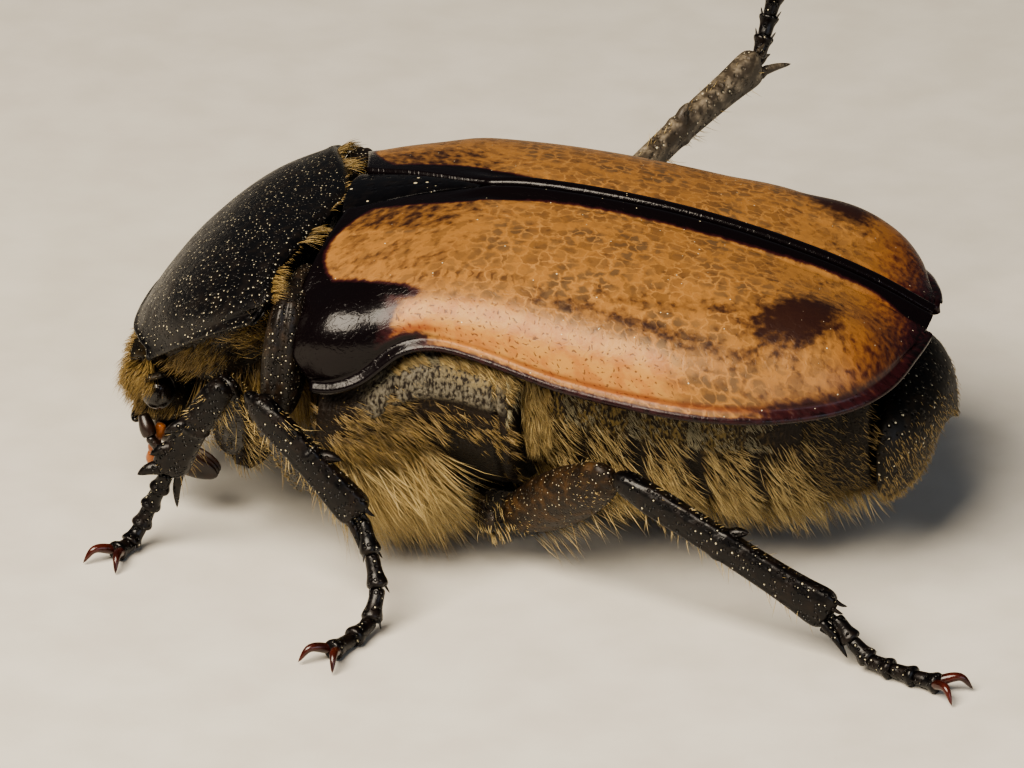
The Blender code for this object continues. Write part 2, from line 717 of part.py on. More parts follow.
def prothorax_place(station, y, height):
    c, s = math.cos(PROTHORAX_TILT), math.sin(PROTHORAX_TILT)
    forwards = Vector((-c, 0, -s))
    upwards = Vector((-s, 0, c))
    return PROTHORAX_ORIGIN + forwards * station + upwards * height + Vector((0, y, 0))


def prothorax_point(reach, angle, grow=0.0):
    """Point on the prothorax: reach runs from back to front, and angles above 180 degrees are underneath."""
    across, upward = rounded(angle, PRONOTUM_ROUNDNESS if upward_side(angle) else FLANK_ROUNDNESS)
    share = abs(across)
    if upward_side(angle):
        rear, front = curve(PRONOTUM_REAR, share), curve(PRONOTUM_FRONT, share)
        station = rear - grow + (front - rear + 2 * grow) * reach
        margin = curve(PRONOTUM_MARGIN, station)
        height = margin + (curve(PRONOTUM_TOP, station) + grow - margin) * upward
        return prothorax_place(station, (curve(PRONOTUM_WIDTH, station) + grow) * across, height)
    depth = abs(upward)
    rear = PRONOTUM_REAR[-1][1] + (PROSTERNUM_REAR - PRONOTUM_REAR[-1][1]) * depth
    front = PRONOTUM_FRONT[-1][1] + (PROSTERNUM_FRONT - PRONOTUM_FRONT[-1][1]) * depth
    station = rear - grow + (front - rear + 2 * grow) * reach
    margin = curve(PRONOTUM_MARGIN, station) - FLANK_DROP
    height = margin + (margin - curve(PROSTERNUM, station) + grow) * upward
    return prothorax_place(station, (curve(PRONOTUM_WIDTH, station) * FLANK_SHARE + grow) * across, height)


def upward_side(angle):
    return angle <= math.pi + 0.001


def prothorax_body(grow=0.0):
    bm = bmesh.new()
    rings = []
    steps = 12
    for k in range(steps + 1):
        ring = [prothorax_point(k / steps, math.pi * i / 18, grow) for i in range(19)]
        ring += [prothorax_point(k / steps, math.pi + math.pi * i / 14 + 0.002, grow) for i in range(15)]
        rings.append(ring)
    loft(bm, rings)
    bmesh.ops.recalc_face_normals(bm, faces=bm.faces)
    return bm


def mesepimeron(name, side):
    """The rough plate that fills the corner between pronotum and shoulder."""
    centre, radii = MESEPIMERON
    block = ellipsoid(centre * Vector((1, side, 1)), radii, segments=16, rings=12)
    slice_off(block, (MESEPIMERON_REAR - GAP, 0, 0), (1, 0, 0))
    plate = combine(block, [prothorax_body(GAP), thorax_body(GAP)], "DIFFERENCE")
    return finish(name, plate, BLACK)


# Head


def head():
    bm = bmesh.new()
    rings = []
    for height, half, front, back in HEAD_STATIONS:
        centre = Vector(((front + back) / 2, 0, height))
        depth = (back - front) / 2
        ring = []
        for k in range(24):
            across, forwards = rounded(2 * math.pi * k / 24, 3.0)
            ring.append(centre + Vector((-depth * forwards, half * across, 0)))
        rings.append(ring)
    loft(bm, rings)
    bmesh.ops.recalc_face_normals(bm, faces=bm.faces)
    rim = []
    for k in range(13):
        s = -1 + k / 6
        height = CLYPEUS_HEIGHT + CLYPEUS_NOTCH * max(0.0, 1 - (3 * s) ** 2)
        rim.append(Vector((CLYPEUS_FRONT + CLYPEUS_CORNER * abs(s) ** 3, CLYPEUS_HALF_WIDTH * s, height)))
    widths = [CLYPEUS_RIM] * len(rim)
    clypeus_edge = tube(rim, widths, widths, Vector((1, 0, 0)), 6)
    return finish("head", combine(bm, [clypeus_edge], "UNION"), BROWN_BLACK)


def mouthparts():
    body = ellipsoid(*MOUTHPARTS, segments=14, rings=8)
    slice_off(body, (0, 0, HEAD_STATIONS[-1][0] - GAP), (0, 0, 1))
    return finish("mouthparts", body, BROWN_BLACK)


def eye(name, side):
    """A domed eye with a flat inner face against the side of the head."""
    bm = ellipsoid(Vector((EYE_CENTRE.x, side * EYE_CENTRE.y, EYE_CENTRE.z)), EYE_RADII, segments=14, rings=8)
    slice_off(bm, (0, side * EYE_FLAT, 0), (0, -side, 0))
    return finish(name, bm, BLACK)


def antenna(name, side):
    """Folded back under the cheek: a stout first joint, small joints and a club of three leaves."""
    mirrored = Vector((1, side, 1))
    path = along([Vector(p) * mirrored for p in ANTENNA_STALK], len(ANTENNA_RADII) - 1)
    stalk = tube(path, ANTENNA_RADII, ANTENNA_RADII, Vector((0, 1, 0)), 6)
    leaves = []
    spread, drop = [math.radians(degrees) for degrees in CLUB_TURNS]
    for k in (-1, 0, 1):
        turn = Matrix.Rotation(spread * k, 4, "X") @ Matrix.Rotation(drop, 4, "Y")
        centre = (CLUB_CENTRE + Vector((0, CLUB_SPACING * k, 0))) * mirrored
        leaves.append(ellipsoid(centre, CLUB_LEAF, turn, segments=8, rings=5))
    return finish(name, combine(stalk, leaves, "UNION"), BROWN_BLACK)


def palp(name, side):
    path = along([Vector(p) * Vector((1, side, 1)) for p in PALP], len(PALP_RADII) - 1)
    return finish(name, tube(path, PALP_RADII, PALP_RADII, Vector((0, 1, 0)), 7), STRAW)


# Legs


def coxa(name, pair, side):
    centre, radii = COXAE[pair]
    block = ellipsoid(Vector((centre.x, side * centre.y, centre.z)), radii, segments=12, rings=7)
    base = Vector((RIGHT_LEGS if side > 0 else LEFT_LEGS)[pair][0])
    room = ellipsoid(base, Vector((COXA_ROOM, COXA_ROOM, COXA_ROOM)), segments=8, rings=5)
    cutters = [prothorax_body(GAP), thorax_body(GAP), abdomen_body(GAP), room]
    return finish(name, combine(block, cutters, "DIFFERENCE"), BLACK)


def femur_body(pair, joints, grow=0.0):
    base, knee = joints[0], joints[1]
    depth = LEG_SIZES[pair][0]
    direction = (knee - base).normalized()
    start, end = base, knee - direction * KNEE_GAP
    path = along([start, (start + end) / 2, end], len(FEMUR_PROFILE) - 1)
    path[-1] += direction * grow
    depths = [max(depth * p, LEG_LEAST) + grow for p in FEMUR_PROFILE]
    widths = [max(min(0.62 * depth * p, 0.34), LEG_LEAST) + grow for p in FEMUR_PROFILE]
    return tube(path, depths, widths, Vector((-0.7, 0, 0.7)), 10)


def tibia(name, pair, side, joints):
    knee, ankle = joints[1], joints[2]
    flare, teeth = LEG_SIZES[pair][1:]
    direction = (ankle - knee).normalized()
    start = knee + direction * KNEE_GAP
    profile = TIBIA_PROFILE + [flare * 0.92, flare]
    path = along([start, (start + ankle) / 2 + Vector((0, side * 0.08, 0.06)), ankle], len(profile) - 1)
    widths = [min(p, LEG_HALF_THICKNESS) for p in profile]
    outer = Vector((0.25, side * 0.15, 1.0))
    if pair == "front":
        outer = Vector((-1.0, side * 0.6, 0.3))
    limb = tube(path, profile, widths, outer, 8)
    across = direction.cross(outer).normalized()
    deep = across.cross(direction).normalized()
    if deep.dot(outer) < 0:
        deep = -deep
    extras = []
    for share in teeth:
        root = start.lerp(ankle, share) + deep * 0.12
        tip = root + deep * 0.45 + direction * 0.3
        extras.append(spike(root, tip, 0.22))
    spurs = (-1,) if pair == "front" else (-1, 1)
    for turn in spurs:
        root = ankle - direction * 0.15 - deep * flare * 0.35 + across * 0.12 * turn
        extras.append(spike(root, root + direction * SPUR_LENGTH - deep * 0.3 + across * 0.12 * turn, 0.16))
    limb = combine(limb, extras, "UNION")
    return finish(name, combine(limb, [femur_body(pair, joints, GAP)], "DIFFERENCE"), BLACK)


def tarsus(name, side, ankle, foot, standing=True):
    points = [Vector(p) for p in foot]
    direction = (points[0] - ankle).normalized()
    start = ankle + direction * (GAP + 0.02)
    path = along([start] + points[1:], TARSUS_SEGMENTS * 2)
    radii = [TARSUS_RADIUS * (0.88, 1.08)[k % 2] for k in range(TARSUS_SEGMENTS * 2 + 1)]
    limb = tube(path, radii, radii, Vector((0.05, 0.1, 1.0)), 8)
    end = path[-1]
    forwards = (path[-1] - path[-3]).normalized()
    across = forwards.cross(Vector((0, 0, 1))).normalized()
    claws = []
    for turn in (-1, 1):
        root = end - forwards * 0.15 + across * 0.08 * turn
        drop = Vector((0, 0, -0.12 if standing else -0.25))
        tip = root + forwards * CLAW_LENGTH + across * 0.3 * turn + drop
        claws.append(spike(root, tip, 0.2, bend=Vector((0, 0, 0.12)) + across * 0.08 * turn))
    limb = combine(limb, claws, "UNION")
    if standing:
        slice_off(limb, (0, 0, 0), (0, 0, -1))
    return finish(name, limb, BLACK)


def leg(pair, side, joints, foot, standing=True):
    tail = "right" if side > 0 else "left"
    joints = [Vector(p) for p in joints]
    coxa(f"coxa_{pair}_{tail}", pair, side)
    finish(f"femur_{pair}_{tail}", femur_body(pair, joints), BLACK)
    tibia(f"tibia_{pair}_{tail}", pair, side, joints)
    tarsus(f"tarsus_{pair}_{tail}", side, joints[2], foot, standing)


def to_metres():
    """Turn every mesh to metres, with the origin under the middle of the whole."""
    corners = []
    for thing in bpy.data.objects:
        corners += [v.co.copy() for v in thing.data.vertices]
    low = [min(c[i] for c in corners) for i in range(3)]
    high = [max(c[i] for c in corners) for i in range(3)]
    centre = Vector(((low[0] + high[0]) / 2, (low[1] + high[1]) / 2, low[2]))
    for thing in bpy.data.objects:
        thing.data.transform(Matrix.Scale(MM, 4) @ Matrix.Translation(-centre))
        thing.data.update()


def build():
    for thing in list(bpy.data.objects):
        bpy.data.objects.remove(thing)
    elytron("elytron_left", -1)
    elytron("elytron_right", 1)
    scutellum()
    flanks = [flank_surface(side, THORAX_INSET, THORAX_DROP) for side in (-1, 1)]
    coated("thorax", thorax_body(), THORAX_COAT, flanks, STRAW)
    flanks = [flank_surface(side, WALL + GAP, 0.0) for side in (-1, 1)]
    coated("abdomen", abdomen_body(), ABDOMEN_COAT, flanks, BROWN_BLACK)
    pygidium()
    chests = [chest_surface(side) for side in (-1, 1)]
    coated("pronotum", prothorax_body(), CHEST_COAT, chests, BLACK)
    head()
    mouthparts()
    for tail, side in (("left", -1), ("right", 1)):
        mesepimeron(f"mesepimeron_{tail}", side)
        eye(f"eye_{tail}", side)
        antenna(f"antenna_{tail}", side)
        palp(f"palp_{tail}", side)
    for pair in ("front", "mid", "hind"):
        leg(pair, -1, LEFT_LEGS[pair], LEFT_FEET[pair])
        leg(pair, 1, RIGHT_LEGS[pair], RIGHT_FEET[pair], standing=pair != "hind")
    to_metres()


build()
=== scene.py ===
"""The looks of a brown flower chafer, life size, standing on a plain pale floor.

Lengths are in millimetres in the beetle's own frame while it is modelled: x = 0 is the tip of the scutellum,
-x is forwards, its left side is at -y and z = 0 is the floor. SHIFT moves them to the frame's place, in metres.
"""

import json
import math

import bpy
import numpy as np
from mathutils import Matrix, Vector

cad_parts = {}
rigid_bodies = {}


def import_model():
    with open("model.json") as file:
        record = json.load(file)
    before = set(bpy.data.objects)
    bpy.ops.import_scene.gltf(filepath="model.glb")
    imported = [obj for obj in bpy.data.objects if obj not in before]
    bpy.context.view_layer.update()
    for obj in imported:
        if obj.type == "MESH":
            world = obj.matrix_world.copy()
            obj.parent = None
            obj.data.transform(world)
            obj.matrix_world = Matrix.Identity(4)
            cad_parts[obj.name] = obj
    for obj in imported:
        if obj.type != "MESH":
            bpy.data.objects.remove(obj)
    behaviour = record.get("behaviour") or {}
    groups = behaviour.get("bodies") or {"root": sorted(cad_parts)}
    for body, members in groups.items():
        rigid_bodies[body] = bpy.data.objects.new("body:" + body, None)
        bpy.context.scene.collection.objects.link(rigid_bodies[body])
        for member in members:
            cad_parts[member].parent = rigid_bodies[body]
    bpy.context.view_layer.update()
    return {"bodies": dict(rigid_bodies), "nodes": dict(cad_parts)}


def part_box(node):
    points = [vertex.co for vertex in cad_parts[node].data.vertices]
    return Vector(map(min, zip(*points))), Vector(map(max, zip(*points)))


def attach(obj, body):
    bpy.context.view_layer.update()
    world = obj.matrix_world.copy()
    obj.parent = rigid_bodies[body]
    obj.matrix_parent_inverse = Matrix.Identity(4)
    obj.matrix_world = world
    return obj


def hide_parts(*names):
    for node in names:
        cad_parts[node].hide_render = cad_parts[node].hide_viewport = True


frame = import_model()
BODY = next(iter(frame["bodies"]))

MM = 0.001
SCUTELLUM_END = -0.02  # the rear tip of its solid
SCUTELLUM_LOW, SCUTELLUM_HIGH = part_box("scutellum")
SHIFT = np.array([SCUTELLUM_HIGH.x - SCUTELLUM_END * MM, (SCUTELLUM_LOW.y + SCUTELLUM_HIGH.y) / 2, 0.0])
FLOOR_CLEARANCE = 0.01  # the least height of any face above the floor
SIDES = (("left", -1), ("right", 1))

# Camera, as the photograph was taken: millimetres and degrees
CAMERA_PLACE = (21.38, -117.88, 58.32)
CAMERA_AZIMUTH = 10.0
CAMERA_ELEVATION = 25.0
CAMERA_LENS = 250.0
CAMERA_SENSOR = 36.0

# Body lines, as (station, value)
ELYTRA_REAR = 8.42
ELYTRA_HALF_WIDTH = 4.2
SCUTELLUM_FRONT = -2.15
SCUTELLUM_TIP = 0.1
SCUTELLUM_HALF_WIDTH = 0.8
SEAM = 0.06  # half the gap between the wing cases
BACK_LINE = [
    (-2.9, 6.15), (-1.2, 6.42), (0.6, 6.5), (2.3, 6.38), (4.1, 6.08), (5.9, 5.6), (7.2, 5.12), (8.42, 4.5)
]
MARGIN_WIDTH = [(-2.9, 3.7), (-1.9, 4.1), (-0.8, 4.02), (0.2, 3.95), (2.2, 4.12), (4.0, ELYTRA_HALF_WIDTH)]
MARGIN_HEIGHT = [
    (-2.9, 4.0), (-2.1, 3.98), (-1.45, 4.22), (-0.7, 4.82), (-0.15, 4.95), (0.7, 4.8), (2.2, 4.4), (3.9, 4.12),
    (5.6, 3.98), (7.0, 3.98), (7.8, 4.14), (8.42, 4.42)
]
BELLY_LINE = [
    (-3.2, 2.0), (-2.3, 1.45), (-1.2, 1.2), (1.1, 1.12), (3.0, 0.95), (5.0, 0.88), (6.4, 0.95), (7.5, 1.25)
]
REAR_ROUNDING_START = 4.0
REAR_ROUNDNESS = 2.3
BACK_ROUNDNESS = 2.6
BELLY_ROUNDNESS = 2.1
ELYTRON_FRONT = [(0.0, -2.3), (0.35, -2.62), (0.7, -2.82), (0.85, -2.72), (1.0, -2.3)]
# Bumps on a wing case, one at the shoulder and two before the rear end: centre, radius, height and stretch
SWELLINGS = [
    ((-2.1, 3.8, 5.0), 1.05, 0.25, 0.55),
    ((5.5, 2.3, 5.3), 1.8, 0.16, 0.0),
    ((7.0, 2.5, 4.9), 1.7, 0.3, 0.0),
]
STRETCH_AXIS = (0.66, 0.25, 0.71)

WAIST = 1.25
RING_EDGES = (WAIST, 2.2, 3.35, 4.45, 5.5, 6.45)
ABDOMEN_END = 7.6
TORSO_FRONT = -2.5
TORSO_REAR = 7.66
TORSO_INSET = 0.62  # depth of its top under the back line
BODY_MIDDLE = 3.6  # height of a line inside the body, which the flanks' hair points away from

PROTHORAX_ORIGIN = (-2.6, 0.0, 3.9)
PROTHORAX_TILT = math.radians(32.0)
PRONOTUM_TOP = [(-1.4, 1.9), (-0.4, 2.25), (0.7, 2.45), (1.9, 2.33), (2.8, 2.03), (3.5, 1.68)]
PRONOTUM_WIDTH = [(-1.4, 3.5), (-0.15, 3.6), (0.8, 3.38), (1.9, 2.75), (2.8, 2.1), (3.5, 1.75)]
PRONOTUM_MARGIN = [(-1.4, 1.5), (-0.15, 1.5), (1.3, 1.5), (2.8, 1.3), (3.3, 1.25)]
PROSTERNUM = [(0.9, -1.05), (1.6, -1.2), (2.4, -0.95)]
PRONOTUM_REAR = [(0.0, -1.38), (0.35, -1.1), (0.8, -0.5), (1.0, -0.38)]
PRONOTUM_FRONT = [(0.0, 3.48), (0.6, 3.3), (1.0, 2.95)]
HIND_CORNER_CUT = 0.42
HIND_CORNER_HEIGHT = 0.4
PROSTERNUM_REAR = 1.0
PROSTERNUM_FRONT = 2.3
PRONOTUM_ROUNDNESS = 2.3
FLANK_ROUNDNESS = 1.35
FLANK_SHARE = 0.84

HEAD_TOP = 3.08
HEAD_DEPTH = 1.4
HEAD_STATIONS = [  # height, half-width, front and rear
    (HEAD_TOP, 0.8, -6.5, -6.14),
    (2.85, 1.12, -6.56, -5.9),
    (2.5, 1.2, -6.56, -5.5),
    (2.15, 1.14, -6.5, -5.3),
    (1.9, 1.12, -6.44, -5.35),
    (1.68, 1.08, -6.38, -5.5),
]

# The right side's parts of the head
EYE_CENTRE = (-5.86, 1.24, 2.42)
EYE_RADII = (0.33, 0.33, 0.36)
BROW = [(-6.35, 1.05, 2.5), (-6.2, 1.35, 2.66), (-5.95, 1.52, 2.8), (-5.65, 1.5, 2.9)]
SCAPE = [(-6.12, 1.4, 2.0), (-6.03, 1.5, 1.8), (-5.95, 1.56, 1.6)]
STALK = [(-5.93, 1.56, 1.56), (-5.78, 1.54, 1.38), (-5.6, 1.5, 1.28)]
PALP_PATH = [(-5.82, 1.16, 1.72), (-5.95, 1.2, 1.3), (-6.05, 0.98, 0.82)]

# Joints of the legs: femur base, knee and ankle, and of the feet, as far as their claws
LEGS = {
    "front_left": [(-4.45, -1.6, 1.5), (-4.07, -3.35, 3.75), (-5.27, -3.05, 1.68)],
    "mid_left": [(-2.75, -2.1, 1.05), (-3.42, -4.35, 3.95), (-1.33, -4.75, 1.9)],
    "hind_left": [(0.95, -2.45, 0.9), (3.18, -4.35, 2.93), (7.35, -5.25, 0.92)],
    "front_right": [(-4.45, 1.6, 1.5), (-4.2, 3.4, 3.65), (-5.55, 3.4, 1.65)],
    "mid_right": [(-2.75, 2.1, 1.05), (-3.2, 4.4, 3.85), (-1.55, 5.2, 1.75)],
    "hind_right": [(0.95, 2.45, 0.9), (1.4, 5.15, 3.95), (3.88, 8.9, 5.62)],
}
FEET = {
    "front_left": [(-5.5, -2.97, 1.2), (-5.78, -2.95, 0.62), (-5.95, -3.1, 0.22), (-6.2, -3.6, 0.18)],
    "mid_left": [(-0.98, -5.1, 1.2), (-0.89, -5.4, 0.62), (-1.02, -5.8, 0.22), (-1.5, -6.85, 0.19)],
    "hind_left": [(7.68, -5.38, 0.55), (8.0, -5.55, 0.26), (8.6, -5.85, 0.19), (9.4, -6.2, 0.19)],
    "front_right": [(-5.78, 3.5, 1.15), (-6.05, 3.6, 0.6), (-6.25, 3.75, 0.22), (-6.6, 4.15, 0.18)],
    "mid_right": [(-1.3, 5.6, 1.15), (-1.2, 5.95, 0.6), (-1.27, 6.3, 0.22), (-1.5, 7.2, 0.19)],
    "hind_right": [(3.97, 9.2, 6.15), (4.08, 9.45, 6.62), (4.2, 9.55, 7.05), (4.42, 9.7, 7.55)],
}
LEG_SIZES = {  # femur's half-depth, tibia's half-depth at the ankle, teeth on the tibia's outer edge
    "front": (0.42, 0.38, (0.5, 0.75, 0.97)),
    "mid": (0.42, 0.36, (0.55,)),
    "hind": (0.54, 0.47, (0.5,)),
}
THIGH_HALF_WIDTH = 0.34
THIGH_AXIS = (-0.7, 0, 0.7)
FOOT_AXIS = (0.05, 0.1, 1.0)


def curve(table, place):
    """Values of a table at places, on a smooth curve through its points."""
    xs, ys = np.array(table, float).T
    index = np.arange(len(xs))
    before, after = np.maximum(index - 1, 0), np.minimum(index + 1, len(xs) - 1)
    slopes = (ys[after] - ys[before]) / (xs[after] - xs[before])
    place = np.clip(place, xs[0], xs[-1])
    i = np.clip(np.searchsorted(xs, place, side="right") - 1, 0, len(xs) - 2)
    span = xs[i + 1] - xs[i]
    t = (place - xs[i]) / span
    rise = (3 * t**2 - 2 * t**3) * (ys[i + 1] - ys[i])
    return ys[i] + rise + span * ((t**3 - 2 * t**2 + t) * slopes[i] + (t**3 - t**2) * slopes[i + 1])


def power(value, exponent):
    """A power that keeps the sign."""
    return np.sign(value) * np.abs(value) ** exponent


def smooth(low, high, value):
    """0 below low, 1 above high and an even slope between."""
    t = np.clip((value - low) / (high - low), 0.0, 1.0)
    return t * t * (3 - 2 * t)


def window(value, rise_start, rise_end, fall_start, fall_end):
    """0, then 1 between a rising and a falling slope, then 0 again."""
    return smooth(rise_start, rise_end, value) * (1 - smooth(fall_start, fall_end, value))


def hill(value, centre, width):
    """A smooth hump of height 1 about a centre."""
    return np.exp(-(((value - centre) / width) ** 2))


def unit(vectors):
    """Vectors in the same directions, of length 1."""
    return vectors / np.maximum(np.linalg.norm(vectors, axis=-1, keepdims=True), 1e-9)


def joined(*parts):
    """Points made from their coordinates."""
    return np.stack(np.broadcast_arrays(*parts), axis=-1)


def mirrored(points, side):
    """Points of the right side, or their mirror image for the left one."""
    return np.array(points, float) * (1, side, 1)


def lengths_along(points, axis):
    """Lengths of a grid's lines, from their start to each point."""
    return np.linalg.norm(np.diff(points, axis=axis, prepend=points.take([0], axis)), axis=-1).cumsum(axis)


# Surfaces of the body


def margin_width(x):
    """Half-width of the wing cases at a station, rounded off behind."""
    share = np.clip((x - REAR_ROUNDING_START) / (ELYTRA_REAR - REAR_ROUNDING_START), 0, 1)
    rounding = np.maximum(0.0, 1 - share**REAR_ROUNDNESS) ** (1 / REAR_ROUNDNESS)
    return np.where(x < REAR_ROUNDING_START, curve(MARGIN_WIDTH, x), ELYTRA_HALF_WIDTH * rounding)


def back(x, angle, inset=0.0):
    """The back: angle 0 is the right margin and a right angle the middle."""
    across = power(np.cos(angle), 2 / BACK_ROUNDNESS)
    upward = power(np.sin(angle), 2 / BACK_ROUNDNESS)
    width = np.maximum(margin_width(x) - inset, 0.1)
    margin = curve(MARGIN_HEIGHT, x)
    return joined(x, width * across, margin + (curve(BACK_LINE, x) - inset - margin) * upward)


def wing_case_surface(u, v):
    """The right wing case: u runs from front to rear and v from the seam to the outer margin."""
    reach = 0.35 * u + 0.65 * np.sin(u * math.pi / 2)
    front = curve(ELYTRON_FRONT, v)
    x = front + (ELYTRA_REAR - 0.04 - front) * reach
    beside = SCUTELLUM_HALF_WIDTH * np.clip((SCUTELLUM_TIP - x) / (SCUTELLUM_TIP - SCUTELLUM_FRONT), 0, None)
    edge = SEAM + beside + 0.04 * (beside > 0)
    start = np.arccos(np.minimum(1.0, edge / margin_width(x)) ** (BACK_ROUNDNESS / 2))
    return back(x, start * (1 - v))


def prothorax_place(station, y, height):
    """Places in the body's frame from the prothorax's own, which is tilted."""
    c, s = math.cos(PROTHORAX_TILT), math.sin(PROTHORAX_TILT)
    ox, oy, oz = PROTHORAX_ORIGIN
    return joined(ox - c * station - s * height, oy + y, oz - s * station + c * height)


def pronotum_surface(u, v):
    """The shield: u runs from its rear to its front and v from the right margin to the left."""
    angle = math.pi * v
    across = power(np.cos(angle), 2 / PRONOTUM_ROUNDNESS)
    upward = power(np.sin(angle), 2 / PRONOTUM_ROUNDNESS)
    share = np.abs(across)
    rear, front = curve(PRONOTUM_REAR, share), curve(PRONOTUM_FRONT, share)
    rear = rear + HIND_CORNER_CUT * np.maximum(0.0, 1 - upward / HIND_CORNER_HEIGHT) ** 2
    station = rear + (front - rear) * u
    margin = curve(PRONOTUM_MARGIN, station)
    height = margin + (curve(PRONOTUM_TOP, station) - margin) * upward
    return prothorax_place(station, curve(PRONOTUM_WIDTH, station) * across, height)


def chest_surface(u, v):
    """The underside of the prothorax: v runs from the left rim round to the right one."""
    angle = math.pi * (1 + v)
    across = power(np.cos(angle), 2 / FLANK_ROUNDNESS)
    upward = power(np.sin(angle), 2 / FLANK_ROUNDNESS)
    depth = np.abs(upward)
    rear = PRONOTUM_REAR[-1][1] + (PROSTERNUM_REAR - PRONOTUM_REAR[-1][1]) * depth
    front = PRONOTUM_FRONT[-1][1] + (PROSTERNUM_FRONT - PRONOTUM_FRONT[-1][1]) * depth
    station = rear + (front - rear) * u
    margin = curve(PRONOTUM_MARGIN, station) - 0.15
    height = margin + (margin - curve(PROSTERNUM, station)) * upward
    return prothorax_place(station, curve(PRONOTUM_WIDTH, station) * FLANK_SHARE * across, height)


def flank_surface(x, degrees, side=-1):
    """The body below the wing cases, by station and degrees under the side margin, where 90 is the keel."""
    angle = np.radians(degrees)
    across = power(np.cos(angle), 2 / BELLY_ROUNDNESS)
    downward = power(np.sin(angle), 2 / BELLY_ROUNDNESS)
    behind = smooth(WAIST - 0.1, WAIST + 0.1, x)
    half = margin_width(x) - 0.15 - 0.6 * behind * (1 - 0.8 * smooth(6.9, 7.7, x))
    top = curve(MARGIN_HEIGHT, x) - 0.35 * (1 - behind)
    belly = curve(BELLY_LINE, x)
    return joined(x, side * half * across, top - (top - belly) * downward)


def step(x):
    """Height of the belly's rings: each swells to its rear edge and drops into the groove before the next."""
    edges = np.array([*RING_EDGES, ABDOMEN_END])
    i = np.clip(np.searchsorted(edges, x, side="right") - 1, 0, len(edges) - 2)
    share = np.clip((x - edges[i]) / (edges[i + 1] - edges[i]), 0, 1)
    swell = 0.07 * np.sqrt(share) * (1 - smooth(0.93, 1.0, share))
    return np.where(x < WAIST, 0.0, swell - 0.04)


def torso_surface(u, v):
    """The skin of thorax and abdomen: u runs to the rear and v all the way round."""
    x = TORSO_FRONT + (TORSO_REAR - TORSO_FRONT) * u
    angle = 2 * math.pi * v
    over = back(x, np.clip(angle, 0, math.pi), TORSO_INSET)
    side = np.where(angle < 1.5 * math.pi, -1.0, 1.0)
    degrees = np.degrees(np.where(angle < 1.5 * math.pi, angle - math.pi, 2 * math.pi - angle))
    under = flank_surface(x, np.clip(degrees, 0, 90), side)
    shape = np.where((angle <= math.pi)[..., None], over, under)
    middle = joined(x, 0 * x, (curve(BACK_LINE, x) + curve(BELLY_LINE, x)) / 2)
    ends = np.minimum(smooth(-0.02, 0.02, u), smooth(-0.01, 0.012, 1 - u))[..., None]
    leaning = (1 - smooth(0.0, 0.05, u)) * (shape[..., 2] - 3.4) * 0.22
    shape = middle + (shape - middle) * ends
    shape[..., 0] += leaning
    return shape


# Making sheets, limbs and hair


def world(points):
    """The same places in the frame, in metres."""
    return np.asarray(points) * MM + SHIFT


def select(*things):
    """Select these pieces alone, the first as the active one."""
    bpy.ops.object.select_all(action="DESELECT")
    for thing in things:
        thing.select_set(True)
        bpy.context.view_layer.objects.active = things[0]


def grid_normals(points):
    down = np.gradient(points, axis=0)
    across = np.gradient(points, axis=1)
    return unit(np.cross(down, across))


def sheet(name, rows, columns, place, lift=None, mirror=1, thickness=0.0, marks=None):
    """A grid laid over a surface, its touching edges merged. Its UV map is in millimetres along and across,
    and marks holds a function for each painted attribute."""
    select()
    bpy.ops.mesh.primitive_grid_add(x_subdivisions=columns, y_subdivisions=rows, size=1.0)
    thing = bpy.context.object
    thing.name = name
    mesh = thing.data
    flat = np.empty(len(mesh.vertices) * 3)
    mesh.vertices.foreach_get("co", flat)
    r = np.rint((flat[1::3] + 0.5) * rows).astype(int)
    c = np.rint((flat[0::3] + 0.5) * columns).astype(int)
    u, v = np.meshgrid(np.linspace(0, 1, rows + 1), np.linspace(0, 1, columns + 1), indexing="ij")
    points = place(u, v)
    normals = grid_normals(points)
    centre = points.reshape(-1, 3).mean(0)
    if np.mean(np.sum(normals * (points - centre), axis=-1)) < 0:
        normals = -normals
    if lift is not None:
        points = points + normals * lift(u, v, points)[..., None]
    points = mirrored(points, mirror)
    points[..., 2] = np.maximum(points[..., 2], FLOOR_CLEARANCE)
    mesh.vertices.foreach_set("co", world(points[r, c]).ravel())
    along, across = lengths_along(points, 0).mean(1), lengths_along(points, 1)
    corners = np.empty(len(mesh.loops), int)
    mesh.loops.foreach_get("vertex_index", corners)
    lengths = np.stack([along[r[corners]], across[r[corners], c[corners]]], -1)
    mesh.uv_layers[0].data.foreach_set("uv", lengths.ravel())
    for attribute, paint in (marks or {}).items():
        values = paint(u, v, mirrored(points, mirror), across)[r, c]
        shades = mesh.attributes.new(attribute, "FLOAT_COLOR", "POINT")
        shades.data.foreach_set("color", np.concatenate([values, np.ones((len(r), 1))], -1).ravel())
    bpy.ops.object.mode_set(mode="EDIT")
    bpy.ops.mesh.select_all(action="SELECT")
    bpy.ops.mesh.remove_doubles(threshold=1e-7)
    bpy.ops.mesh.normals_make_consistent(inside=False)
    bpy.ops.object.mode_set(mode="OBJECT")
    if mean_outward(thing) < 0:
        mesh.flip_normals()
    if thickness:
        wall = thing.modifiers.new("wall", "SOLIDIFY")
        wall.thickness = thickness * MM
        wall.offset = -1
        bpy.ops.object.modifier_apply(modifier="wall")
    bpy.ops.object.shade_smooth()
    return thing


def mean_outward(thing):
    """How far the faces look away from the middle of the piece."""
    count = len(thing.data.polygons)
    centres, normals = np.empty(count * 3), np.empty(count * 3)
    thing.data.polygons.foreach_get("center", centres)
    thing.data.polygons.foreach_get("normal", normals)
    centres = centres.reshape(-1, 3)
    return float(np.mean(np.sum(normals.reshape(-1, 3) * (centres - centres.mean(0)), axis=1)))


